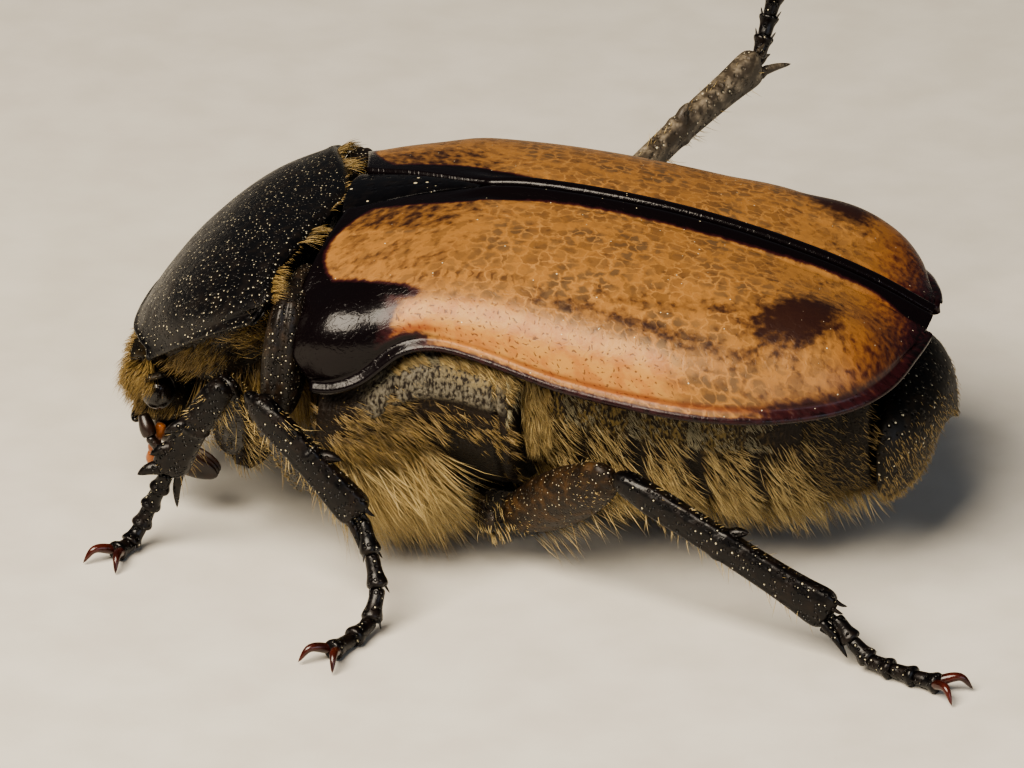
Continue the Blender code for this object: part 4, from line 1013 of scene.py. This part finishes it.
def prothorax():
    for _, side in SIDES:
        plate = ball("plate_under_the_collar", mirrored(COLLAR_PLATE, side), COLLAR_PLATE_RADII)
        show(plate, ROUGH, "black_shell")
    shield = sheet("pronotum_shield", 120, 180, pronotum_surface, pronotum_lift, 1, SHIELD_THICKNESS)
    show(shield, SHIELD, "black_shell", "pronotum")
    show(sheet("prosternum", 60, 120, chest_core), ROUGH, "black_shell")
    for tail, side in SIDES:
        plate = sheet(f"shoulder_plate_{tail}", 60, 64, shoulder_plate, None, side)
        show(plate, ROUGH, "black_shell", f"mesepimeron_{tail}")


# Thorax, abdomen and pygidium

def torso_degrees(v):
    """Degrees under the side margin, from a place round the skin. Over the back they are negative."""
    return np.where(v < 0.5, -360 * np.minimum(v, 0.5 - v), 90 - 360 * np.abs(v - 0.75))


def torso_lift(u, v, points):
    """Rings, the groove of the waist, and the ledge and the hip's plate beside the thorax."""
    x = points[..., 0]
    degrees = torso_degrees(v)
    under = smooth(-2, 4, degrees)
    groove = hill(x, 0.95, 0.05) * 0.1 + hill(x, -1.2 + 0.3 * (points[..., 2] - 3), 0.06) * 0.08
    ledge = 0.09 * window(degrees, -1, 3, 9.5, 12) * window(x, -1.5, -1.2, 1.0, 1.25)
    hip = 0.1 * smooth(24, 30, degrees) * smooth(-0.75, -0.6, x - 0.012 * (degrees - 30)) * smooth(1.2, 1.1, x)
    return (step(x) - groove) * under + ledge + hip


def torso_marks(u, v, points, across):
    """Where the down is silvery, where it is golden and where the shell is bare."""
    x = points[..., 0]
    degrees = torso_degrees(v)
    high = smooth(-3, 1, degrees)
    silver = high * smooth(12, 9, degrees) * window(x, -1.7, -1.2, 1.0, 1.3)
    gold = high * smooth(22, 13, degrees) * window(x, 1.2, 1.5, 4.8, 6.0)
    gold = np.maximum(gold, 0.8 * smooth(6, 1, degrees) * high * window(x, -0.4, 0.2, 1.1, 1.3))
    seams = sum(hill(x, edge + 0.06, 0.14) for edge in RING_EDGES)
    bare = np.maximum(smooth(9, 16, degrees) * seams, smooth(5.9, 6.7, x) * 0.8)
    bare = np.maximum(bare, 0.85 * smooth(14, 22, degrees) * window(x, -0.7, -0.4, 1.0, 1.3))
    return np.stack([silver, gold * (1 - np.minimum(seams, 1)), np.minimum(bare, 1)], -1)


def torso():
    skin = sheet("thorax_and_abdomen", 320, 240, torso_surface, torso_lift, marks={"marks": torso_marks})
    show(skin, FELT, "brown_shell", "thorax", "abdomen")


PYGIDIUM_START = 7.67
PYGIDIUM_HEIGHT = 2.52
PYGIDIUM_HALF_HEIGHT = 1.32
PYGIDIUM_PROFILE = [  # share of the way to the middle, share of the full size, share of the full depth
    (0.0, 0.6, 0.0), (0.05, 0.9, 0.0), (0.12, 0.98, 0.06), (0.3, 0.98, 0.24), (0.5, 0.9, 0.47), (0.68, 0.76, 0.68),
    (0.83, 0.55, 0.86), (0.94, 0.28, 0.97), (1.0, 0.0, 1.0)
]


def pygidium_surface(u, v):
    """The last plate, a dome that hangs under the wing cases' rear ends."""
    profile = np.array(PYGIDIUM_PROFILE)
    share, bulge = [curve(profile[:, (0, k)], u) for k in (1, 2)]
    angle = 2 * math.pi * v
    across, upward = power(np.cos(angle), 2 / 2.3), power(np.sin(angle), 2 / 2.3)
    half = 2.45 - 0.35 * (1 - upward) / 2
    x = PYGIDIUM_START + (1.05 + 0.2 * upward) * bulge
    return joined(x, half * share * across, PYGIDIUM_HEIGHT + PYGIDIUM_HALF_HEIGHT * share * upward)


def pygidium():
    show(sheet("tail_shield", 90, 120, pygidium_surface), TAIL, "brown_shell", "pygidium")


# Head


def head_surface(u, v):
    heights, *tables = np.array(HEAD_STATIONS).T
    depth = HEAD_DEPTH * u
    half, front, rear = [curve(np.stack([HEAD_TOP - heights, values], -1), depth) for values in tables]
    closing = np.minimum(smooth(-0.03, 0.06, u), smooth(-0.02, 0.04, 1 - u))
    angle = 2 * math.pi * v
    across, forwards = power(np.cos(angle), 2 / 3.0), power(np.sin(angle), 2 / 3.0)
    x = (front + rear) / 2 - (rear - front) / 2 * forwards * closing
    return joined(x, half * across * closing, HEAD_TOP - depth)


def head():
    skull = sheet("head_capsule", 50, 80, head_surface)
    show(skull, HEAD, "brown_shell", "head")
    rim = []
    for k in range(13):
        s = -1 + k / 6
        notch = 0.12 * max(0.0, 1 - (3 * s) ** 2)
        rim.append((-6.43 + 0.1 * abs(s) ** 3, 1.08 * s, 1.68 + notch))
    edge = limb("clypeus_rim", rim, (1, 0, 0), [(0, 0.1), (1, 0.1)], [(0, 0.07), (1, 0.07)], 60, 16)
    show(edge, GLOSSY, "brown_shell")
    show(ball("mouth", (-5.86, 0, 1.25), (0.38, 0.7, 0.36)), JOINT, "brown_shell", "mouthparts")
    for tail, side in SIDES:
        eye = ball(f"eye_dome_{tail}", mirrored(EYE_CENTRE, side), EYE_RADII, 48, 32)
        show(eye, CORNEA, "eye", f"eye_{tail}")
        sizes = ([(0, 0.08), (1, 0.06)], [(0, 0.13), (1, 0.1)])
        ridge = limb(f"eye_ridge_{tail}", mirrored(BROW, side), (0, 0, 1), *sizes, 24, 14)
        show(ridge, HEAD, "brown_shell")
        antenna(tail, side)
        palp(tail, side)


def antenna(tail, side):
    """A stout first joint, six bead-like joints and a club of three leaves."""
    table = [(0, 0.1), (0.6, 0.15), (1, 0.13)]
    parts = [limb("scape", mirrored(SCAPE, side), (0, 1, 0), table, table, 20, 16)]
    for place in path_points(mirrored(STALK, side), 6)[:-1]:
        parts.append(ball("bead", place, (0.1, 0.11, 0.1), 14, 10))
    for k in (-1, 0, 1):
        leaf = ball("leaf", (0, 0, 0), (0.56, 0.075, 0.24), 28, 16)
        turn = Matrix.Rotation(math.radians(12 * k), 4, "X") @ Matrix.Rotation(math.radians(20), 4, "Y")
        centre = Vector(world((-5.2, side * (1.48 + 0.17 * k), 1.12)))
        origin = Vector(world((0, 0, 0)))
        leaf.data.transform(Matrix.Translation(centre) @ turn @ Matrix.Translation(-origin))
        parts.append(leaf)
    show(join(f"antenna_joints_{tail}", parts), JOINT, "brown_shell", f"antenna_{tail}")


def palp(tail, side):
    """Three joints, end to end, that hang beside the mouth."""
    path = path_points(mirrored(PALP_PATH, side), 3)
    parts = []
    for low, high, radius in zip(path, path[1:], (0.12, 0.13, 0.14)):
        table = [(0, radius * 0.7), (0.6, radius), (1, radius * 0.8)]
        parts.append(limb("joint", [low, (low + high) / 2, high], (0, 1, 0), table, table, 16, 14))
    show(join(f"palp_joints_{tail}", parts), PALP, "palp", f"palp_{tail}")


# Legs


def pair_and_side(key):
    pair, tail = key.split("_")
    return pair, dict(SIDES)[tail]


def thigh_path(base, knee):
    return [base, (base + knee) / 2, knee]


def shin_path(top, ankle, side):
    """The line of a shin, bowed a little outwards and upwards."""
    return [top, (top + ankle) / 2 + np.array([0, side * 0.08, 0.06]), ankle]


def femur(key, joints, look):
    """The thigh: thickest before its middle, with a keel along its lower edge and a groove before the knee."""
    depth = LEG_SIZES[pair_and_side(key)[0]][0]
    profile = [(0, 0.55), (0.15, 0.8), (0.4, 1.0), (0.65, 0.98), (0.85, 0.78), (0.95, 0.66), (1, 0.55)]
    depths = [(s, depth * p) for s, p in profile]
    widths = [(s, min(0.62 * depth * p, THIGH_HALF_WIDTH)) for s, p in profile]

    def ridges(u, v, points):
        angle = 2 * math.pi * v
        keel = hill(np.cos(angle), -1.0, 0.12) * 0.04 * window(u, 0.1, 0.3, 0.8, 0.95)
        return keel - 0.03 * hill(u, 0.93, 0.02)

    thing = limb(f"thigh_{key}", thigh_path(*joints[:2]), THIGH_AXIS, depths, widths, 70, 36, ridges)
    show(thing, look, "black_shell", f"femur_{key}")


def outer_axis(pair, side):
    """Roughly the way that a shin's outer edge looks."""
    return np.array((-1.0, side * 0.6, 0.3) if pair == "front" else (0.25, side * 0.15, 1.0))


def tibia(key, joints, look):
    """The shin, flared at the ankle, with ridges along it, outer teeth and a pair of spurs."""
    pair, side = pair_and_side(key)
    knee, ankle = joints[1:]
    flare, teeth = LEG_SIZES[pair][1:]
    direction = unit(ankle - knee)
    start = knee + direction * 0.02
    outer = outer_axis(pair, side)
    across = unit(np.cross(direction, outer))
    deep = unit(np.cross(across, direction))
    deep = deep * np.sign(deep @ outer)
    profile = [(0, 0.17), (0.06, 0.24), (0.3, 0.26), (0.6, 0.27), (0.85, 0.32), (1.0, flare)]
    widths = [(0, 0.15), (0.06, 0.22), (0.5, 0.22), (1.0, 0.27)]

    def ridges(u, v, points):
        angle = 2 * math.pi * v
        rib = hill(np.sin(angle * 3 + 0.6), 1.0, 0.35) * 0.035 * smooth(0.08, 0.2, u)
        return rib + 0.03 * hill(u, 0.5, 0.02)

    parts = [limb("shin", shin_path(start, ankle, side), outer, profile, widths, 90, 40, ridges, 2.6)]
    for share in teeth:
        root = start + (ankle - start) * share + deep * 0.12
        bend, tip = root + deep * 0.25 + direction * 0.12, root + deep * 0.42 + direction * 0.32
        parts.append(spike([root, bend, tip], 0.15))
    for turn in (-1,) if pair == "front" else (-1, 1):
        root = ankle - direction * 0.15 - deep * flare * 0.35 + across * 0.12 * turn
        tip = root + direction * 0.78 - deep * 0.3 + across * 0.14 * turn
        parts.append(spike([root, (root + tip) / 2 + deep * 0.04, tip], 0.09))
    for turn in (-1.0, -0.5, 0.0, 0.5, 1.0):
        root = ankle - direction * 0.08 + deep * flare * 0.75 * turn + across * 0.1
        tip = root + direction * 0.24 + deep * 0.04 * turn
        parts.append(spike([root, root + direction * 0.12, tip], 0.045, 8))
    show(join(f"shin_{key}", parts), look, "black_shell", f"tibia_{key}")


def tarsus(key, joints, foot):
    """Five joints, each flared at its end with a pair of bristles, and two hooked claws."""
    direction = unit(np.array(foot[0]) - joints[2])
    path = path_points([joints[2] + direction * 0.1, *foot[1:]], 5)
    parts = []
    for low, high in zip(path, path[1:]):
        along = unit(high - low)
        low = low - along * 0.05
        table = [(0, 0.1), (0.1, 0.13), (0.55, 0.15), (0.85, 0.2), (1.0, 0.17)]
        parts.append(limb("joint", [low, (low + high) / 2, high], FOOT_AXIS, table, table, 26, 20))
        for turn in (-1, 1):
            across = unit(np.cross(along, FOOT_AXIS)) * turn
            root = high - along * 0.12 + across * 0.12
            tip = root + along * 0.22 + across * 0.1
            tip[2] = max(tip[2], 0.03)
            parts.append(spike([root, (root + tip) / 2, tip], 0.028, 6))
    end = path[-1]
    forwards = unit(path[-1] - path[-2])
    across = unit(np.cross(forwards, (0, 0, 1)))
    upward = np.cross(across, forwards)
    claws = []
    for turn in (-1, 1):
        root = end - forwards * 0.12 + across * 0.06 * turn
        middle = root + forwards * 0.38 + across * 0.2 * turn + upward * 0.1
        tip = root + forwards * 0.58 + across * 0.32 * turn - upward * 0.14
        if key != "hind_right":
            tip[2] = max(tip[2], 0.04)
        claws.append(spike([root, middle, tip], 0.1))
    show(join(f"foot_{key}", parts), LIMB, "black_shell", f"tarsus_{key}")
    show(join(f"claws_{key}", claws), CLAW, "black_shell")


def legs():
    for key, joints in LEGS.items():
        joints = np.array(joints)
        show(smoothed_copy(f"hip_{key}", f"coxa_{key}"), ROUGH, "black_shell", f"coxa_{key}")
        femur(key, joints, DULL_LIMB if key.startswith("hind") else LIMB)
        # The raised right hind shin takes the pale grey of a painted sheen, for the reflections on its glossy
        # ridges
        tibia(key, joints, PAINTED_SHEEN_LIMB if key == "hind_right" else LIMB)
        tarsus(key, joints, FEET[key])


# Coats. A row of hair holds its count, its range along u and along v, the way it lies (backwards, outwards,
# upwards) or its two ways at the start and the end of u, its lengths, its thickness, how far it stands up and
# the size of its tufts

BACKWARD = (0.9, 0.0, -0.35)
BELLY_LIES = ((0.6, 0.06, -0.7), (0.7, 0.06, -0.6))
SIDE_LIMITS = ((-2.6, 7.7), (-5, 95))
EVERYWHERE = ((0, 1), (0, 1))

BREAST_ROWS = [
    (3300, (-2.5, -0.5), (28, 72), ((0.45, 0.15, -0.85), (0.75, 0.12, -0.72)), (0.85, 2.0), 0.009, 0.3, 0.3),
    (450, (-0.95, -0.35), (-4, 5), (0.8, 0.0, -0.5), (0.2, 0.36), 0.009, 0.3, 0.1),
    (900, (-0.1, 1.25), (-4, 4), (0.7, 0.0, -0.6), (0.22, 0.42), 0.009, 0.3, 0.12),
    (900, (1.32, 1.82), (4, 30), (0.25, 0.1, -0.9), (0.35, 0.62), 0.009, 0.5, 0.16),
    (260, (-0.4, 1.25), (66, 90), ((0.5, 0.05, -0.8), (0.6, 0.05, -0.8)), (0.4, 0.8), 0.009, 0.5, 0.2),
]
FLANK_ROWS = [
    (700, (-0.1, 1.3), (-4, 6), (0.7, 0.0, -0.6), (0.2, 0.34), 0.009, 0.3, 0.1),
    (1250, (-2.55, -0.3), (14, 42), ((0.7, 0.05, -0.6), (0.85, 0.05, -0.5)), (0.4, 0.8), 0.008, 0.22, 0.2),
    (600, (-0.3, 1.2), (12, 30), (0.8, 0.0, -0.5), (0.25, 0.45), 0.008, 0.2, 0.14),
    (1500, (-2.5, -0.7), (0, 24), BACKWARD, (0.2, 0.45), 0.008, 0.3, 0.2),
    (700, (-0.5, 1.2), (24, 80), BACKWARD, (0.16, 0.34), 0.008, 0.25, 0.1),
    (1300, (6.0, 7.65), (0, 80), (0.8, 0.0, -0.5), (0.12, 0.3), 0.007, 0.4, 0.1),
    (500, (4.3, 6.4), (-4, 6), (0.8, 0.0, -0.4), (0.12, 0.25), 0.007, 0.3, 0.1),
]
DOWN_ROWS = [
    (4200, (-1.35, 1.2), (-2, 11), (0.9, 0.0, -0.3), (0.08, 0.15), 0.0075, 0.22, 0.1),
    (5200, (1.15, 5.8), (-3, 17), ((0.45, 0.0, -0.8), (0.6, 0.0, -0.7)), (0.13, 0.26), 0.0075, 0.3, 0.12),
]
BELLY_ROWS = [
    (1150, (1.5, 7.4), (56, 92), (0.5, 0.05, -0.8), (0.45, 0.9), 0.009, 0.4, 0.25),
    *[
        (count, (edge + 0.14, edge + 0.95), (12, 66), BELLY_LIES, (0.35, 0.75), 0.0085, 0.28, 0.2)
        for edge, count in zip(RING_EDGES, (650, 520, 480, 480, 360))
    ],
]
CHEST_ROWS = [
    (750, (0.55, 1.0), (0.02, 0.15), ((-0.5, 0.15, -0.7), (-0.6, 0.1, -0.6)), (0.16, 0.36), 0.007, 0.3, 0.12),
    (260, (0.05, 0.6), (0.02, 0.15), ((-0.2, 0.3, -0.7), (-0.4, 0.3, -0.6)), (0.1, 0.2), 0.006, 0.4, 0.1),
    (2000, (0.05, 1.0), (0.17, 0.42), ((0.15, 0.1, -0.95), (-0.15, 0.1, -0.95)), (0.55, 1.15), 0.0085, 0.35, 0.26),
    (150, (0.0, 0.32), (0.03, 0.16), ((-0.4, 0.8, 0.7), (-0.9, 0.8, 0.1)), (0.45, 0.9), 0.009, 1.0, 0.05),
]
HEAD_ROWS = [
    (1300, (0.02, 0.42), (0.38, 0.64), ((-0.4, 0.5, -0.7), (-0.3, 0.4, -0.85)), (0.22, 0.48), 0.008, 0.35, 0.16),
    (500, (0.4, 0.8), (0.38, 0.62), ((-0.5, 0.3, -0.7), (-0.4, 0.3, -0.8)), (0.2, 0.4), 0.008, 0.4, 0.14),
    (900, (0.08, 0.3), (0.45, 0.62), ((-0.1, 1.0, -0.35), (-0.1, 1.0, -0.45)), (0.6, 0.9), 0.008, 0.5, 0.18),
    (500, (0.05, 0.85), (0.25, 0.4), (-0.4, 0.0, -0.8), (0.1, 0.2), 0.007, 0.4, 0.1),
    (600, (0.0, 0.05), (0.2, 0.7), ((-0.8, 0.2, -0.3), (-0.8, 0.3, -0.4)), (0.15, 0.3), 0.007, 0.3, 0.1),
]
COLLAR_ROWS = [
    (150, (0.0, 1.0), (0.6, 0.86), (1.0, 0.1, -0.15), (0.12, 0.28), 0.006, 0.1, 0.05),
    (170, (0.0, 1.0), (0.76, 0.92), (1.0, 0.5, -0.1), (0.3, 0.55), 0.007, 0.4, 0.1),
    (40, (0.0, 1.0), (0.6, 0.68), (1.0, 0.1, 0.0), (0.4, 0.75), 0.007, 0.25, 0.12),
    (14, (0.0, 1.0), (0.5, 0.56), (0.9, 0.0, 0.3), (0.2, 0.4), 0.007, 0.5, 0.2),
]
TAIL_ROWS = [(2600, (0.12, 0.97), (0.0, 1.0), (0.4, 0.0, -0.9), (0.1, 0.24), 0.007, 0.6, 0.1)]

# Bristles on a leg: count, range along the joint, degrees round it and their spread, the way they lie (along,
# outwards, upwards) and their lengths
THIGH_ROWS = [
    (80, (0.12, 0.95), 180, 14, (0.35, 0.9, -0.3), (0.45, 0.95)),
    (190, (0.1, 0.9), 90, 50, (0.9, 0.25, -0.2), (0.08, 0.17)),
    (190, (0.1, 0.9), -90, 50, (0.9, 0.25, -0.2), (0.08, 0.17)),
]
SHIN_ROWS = [
    (90, (0.08, 0.97), 180, 22, (0.7, 0.75, -0.1), (0.25, 0.6)),
    (60, (0.15, 0.95), 0, 25, (0.8, 0.6, 0.0), (0.14, 0.3)),
]
HIP_ROWS = [(80, (0.2, 0.9), (0.1, 0.4), ((0.4, 0.5, -0.8), (0.5, 0.4, -0.8)), (0.15, 0.36), 0.0085, 0.4, 0.16)]
SHIN_HALF_SIZES = (0.27, 0.22)


def rooted(surface, rows, dice, limits, side=1, inside=None):
    """Roots, normals, lies, lengths, radii, stands, tufts and bake places for rows of hair on a surface."""
    parts = []
    for count, along, round_, lie, lengths, radius, rise, clump in rows:
        a, b = dice.beta(1.35, 1.35, (2, count))
        ragged = 0.08 * np.sin(b * 11 + count) + 0.05 * np.sin(b * 29)
        u = along[0] + (along[1] - along[0]) * np.clip(a + ragged, 0, 1)
        v = round_[0] + (round_[1] - round_[0]) * b
        roots, normals = surface_frame(surface, u, v, inside)
        start, end = np.broadcast_to(lie, (2, 3))
        lies = start + (end - start) * a[:, None]
        spots = [(w - low) / (high - low) for w, (low, high) in zip((u, v), limits)]
        sizes = dice.uniform(*lengths, count)
        even = [np.full(count, value) for value in (radius, rise, clump)]
        parts.append((roots, normals, mirrored(lies, side), sizes, *even, np.stack(spots, -1)))
    return [np.concatenate(column) for column in zip(*parts)]


def coats():
    for tail, side in SIDES:
        def flank(x, degrees, side=side):
            return flank_surface(x, degrees, side)

        def chest(u, v, side=side):
            return chest_surface(u, v if side < 0 else 1 - v)

        def skull(u, v, side=side):
            return head_surface(u, v if side < 0 else 0.5 - v)

        def collar(u, v, side=side):
            under = pronotum_surface(0.02 + 0.02 * u, v if side < 0 else 1 - v)
            return under * [1, 0.985, 1] - [0, 0, 0.08]

        for name, look, surface, rows, limits, inside, seed in (
            ("breast_hair", STRAW, flank, BREAST_ROWS, SIDE_LIMITS, None, 11),
            ("flank_hair", GOLD, flank, FLANK_ROWS, SIDE_LIMITS, None, 21),
            ("flank_down", GREY, flank, DOWN_ROWS, SIDE_LIMITS, None, 31),
            ("belly_hair", STRAW, flank, BELLY_ROWS, SIDE_LIMITS, None, 41),
            ("chest_hair", GOLD, chest, CHEST_ROWS, EVERYWHERE, (-4.0, 0.0, 3.2), 51),
            ("face_hair", GOLD, skull, HEAD_ROWS, EVERYWHERE, (-5.9, 0.0, 2.4), 61),
            ("collar_hair", GOLD, collar, COLLAR_ROWS, EVERYWHERE, (-3.6, 0.0, 3.2), 71),
        ):
            dice = np.random.default_rng(seed + side)
            thing = coat(f"{name}_{tail}", *rooted(surface, rows, dice, limits, side, inside), dice)
            show(thing, look, "hairy_shell")
    dice = np.random.default_rng(81)
    parts = rooted(pygidium_surface, TAIL_ROWS, dice, EVERYWHERE, 1, (7.4, 0.0, 2.5))
    show(coat("tail_hair", *parts, dice), GOLD, "hairy_shell")
    for number, (key, joints) in enumerate(LEGS.items()):
        leg_hair(key, joints, np.random.default_rng(91 + number))


def bristle_rows(points, depth_axis, size, rows, dice, stretch):
    """Bristles on a limb. Stretch is the share of the bake map that this joint takes."""
    path = path_points(points, 60)
    frames = [path, *limb_frame(path, depth_axis)]
    grid = np.linspace(0, 1, 61)
    parts = []
    for count, reach, turn, spread, lie, lengths in rows:
        share = dice.uniform(*reach, count)
        place, along, side, deep = [
            np.stack([np.interp(share, grid, values) for values in frame_.T], -1) for frame_ in frames
        ]
        angle = np.radians(turn + dice.normal(0, spread, count))[:, None]
        outward = unit(deep * np.cos(angle) + side * np.sin(angle))
        roots = place + (deep * np.cos(angle) * size[0] + side * np.sin(angle) * size[1]) * 0.92
        lies = along * lie[0] + outward * lie[1] + np.array([0, 0, lie[2]])
        spots = np.stack([stretch[0] + (stretch[1] - stretch[0]) * share, (angle[:, 0] / (2 * math.pi)) % 1], -1)
        even = [np.full(count, value) for value in (0.0075, 0.2, 0.05)]
        parts.append((roots, outward, lies, dice.uniform(*lengths, count), *even, spots))
    return [np.concatenate(column) for column in zip(*parts)]


def leg_hair(key, joints, dice):
    pair, side = pair_and_side(key)
    base, knee, ankle = np.array(joints)
    sizes = (LEG_SIZES[pair][0], THIGH_HALF_WIDTH)
    thigh = bristle_rows(thigh_path(base, knee), THIGH_AXIS, sizes, THIGH_ROWS, dice, (0.0, 0.4))
    line = shin_path(knee, ankle, side)
    shin = bristle_rows(line, outer_axis(pair, side), SHIN_HALF_SIZES, SHIN_ROWS, dice, (0.4, 0.8))
    low, high = [(np.array(corner) - SHIFT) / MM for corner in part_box(f"coxa_{key}")]

    def hip(u, v):
        azimuth, polar = 2 * math.pi * v, math.pi * u
        spread = np.sin(polar)
        outwards = joined(-np.cos(azimuth) * spread, side * np.abs(np.sin(azimuth)) * spread, np.cos(polar))
        return (low + high) / 2 + (high - low) / 2 * outwards

    hips = rooted(hip, HIP_ROWS, dice, EVERYWHERE, side, (low + high) / 2)
    hips[-1] = hips[-1] * [0.2, 1.0] + [0.8, 0.0]
    rows = [np.concatenate(columns) for columns in zip(thigh, shin, hips)]
    show(coat(f"leg_hair_{key}", *rows, dice), STRAW, "hairy_shell")


# Floor, lights and camera


def stage():
    select()
    bpy.ops.mesh.primitive_plane_add(size=2.0, location=(0, 0, 0))
    floor = bpy.context.object
    floor.name = "floor"
    floor.data.materials.append(card())


def light(name, place, aim, size, power_watts, colour):
    lamp = bpy.data.lights.new(name, "AREA")
    lamp.shape = "RECTANGLE"
    lamp.size, lamp.size_y = size
    lamp.energy = power_watts
    lamp.color = hexa(colour)[:3]
    holder = bpy.data.objects.new(name, lamp)
    bpy.context.collection.objects.link(holder)
    holder.location = world(place)
    direction = Vector(world(aim)) - holder.location
    holder.rotation_euler = direction.to_track_quat("-Z", "Y").to_euler()


def lights():
    light("softbox", (-32, -64, 88), (0, 0, 3), (0.085, 0.065), 0.27, "#FFF2DE")
    light("fill", (85, -75, 40), (0, 0, 3), (0.08, 0.06), 0.03, "#E8F0FF")
    sky = bpy.data.worlds.new("studio")
    sky.use_nodes = True
    background = sky.node_tree.nodes["Background"].inputs
    background["Color"].default_value = hexa("#C9CDD3")
    background["Strength"].default_value = 0.12
    bpy.context.scene.world = sky
    bpy.context.scene.view_settings.look = "AgX - Medium High Contrast"


def camera():
    azimuth, elevation = math.radians(CAMERA_AZIMUTH), math.radians(CAMERA_ELEVATION)
    back_way = Vector(
        (math.sin(azimuth) * math.cos(elevation), -math.cos(azimuth) * math.cos(elevation), math.sin(elevation))
    )
    right = Vector((math.cos(azimuth), math.sin(azimuth), 0))
    up = back_way.cross(right)
    lens = bpy.data.cameras.new("camera")
    lens.lens = CAMERA_LENS
    lens.sensor_width = CAMERA_SENSOR
    lens.clip_start = 0.001
    lens.clip_end = 10.0
    holder = bpy.data.objects.new("camera", lens)
    bpy.context.collection.objects.link(holder)
    turn = Matrix((right, up, back_way)).transposed().to_4x4()
    holder.matrix_world = Matrix.Translation(Vector(world(CAMERA_PLACE))) @ turn
    bpy.context.scene.camera = holder


camera()
wing_cases()
scutellum()
prothorax()
torso()
pygidium()
head()
legs()
coats()
stage()
lights()
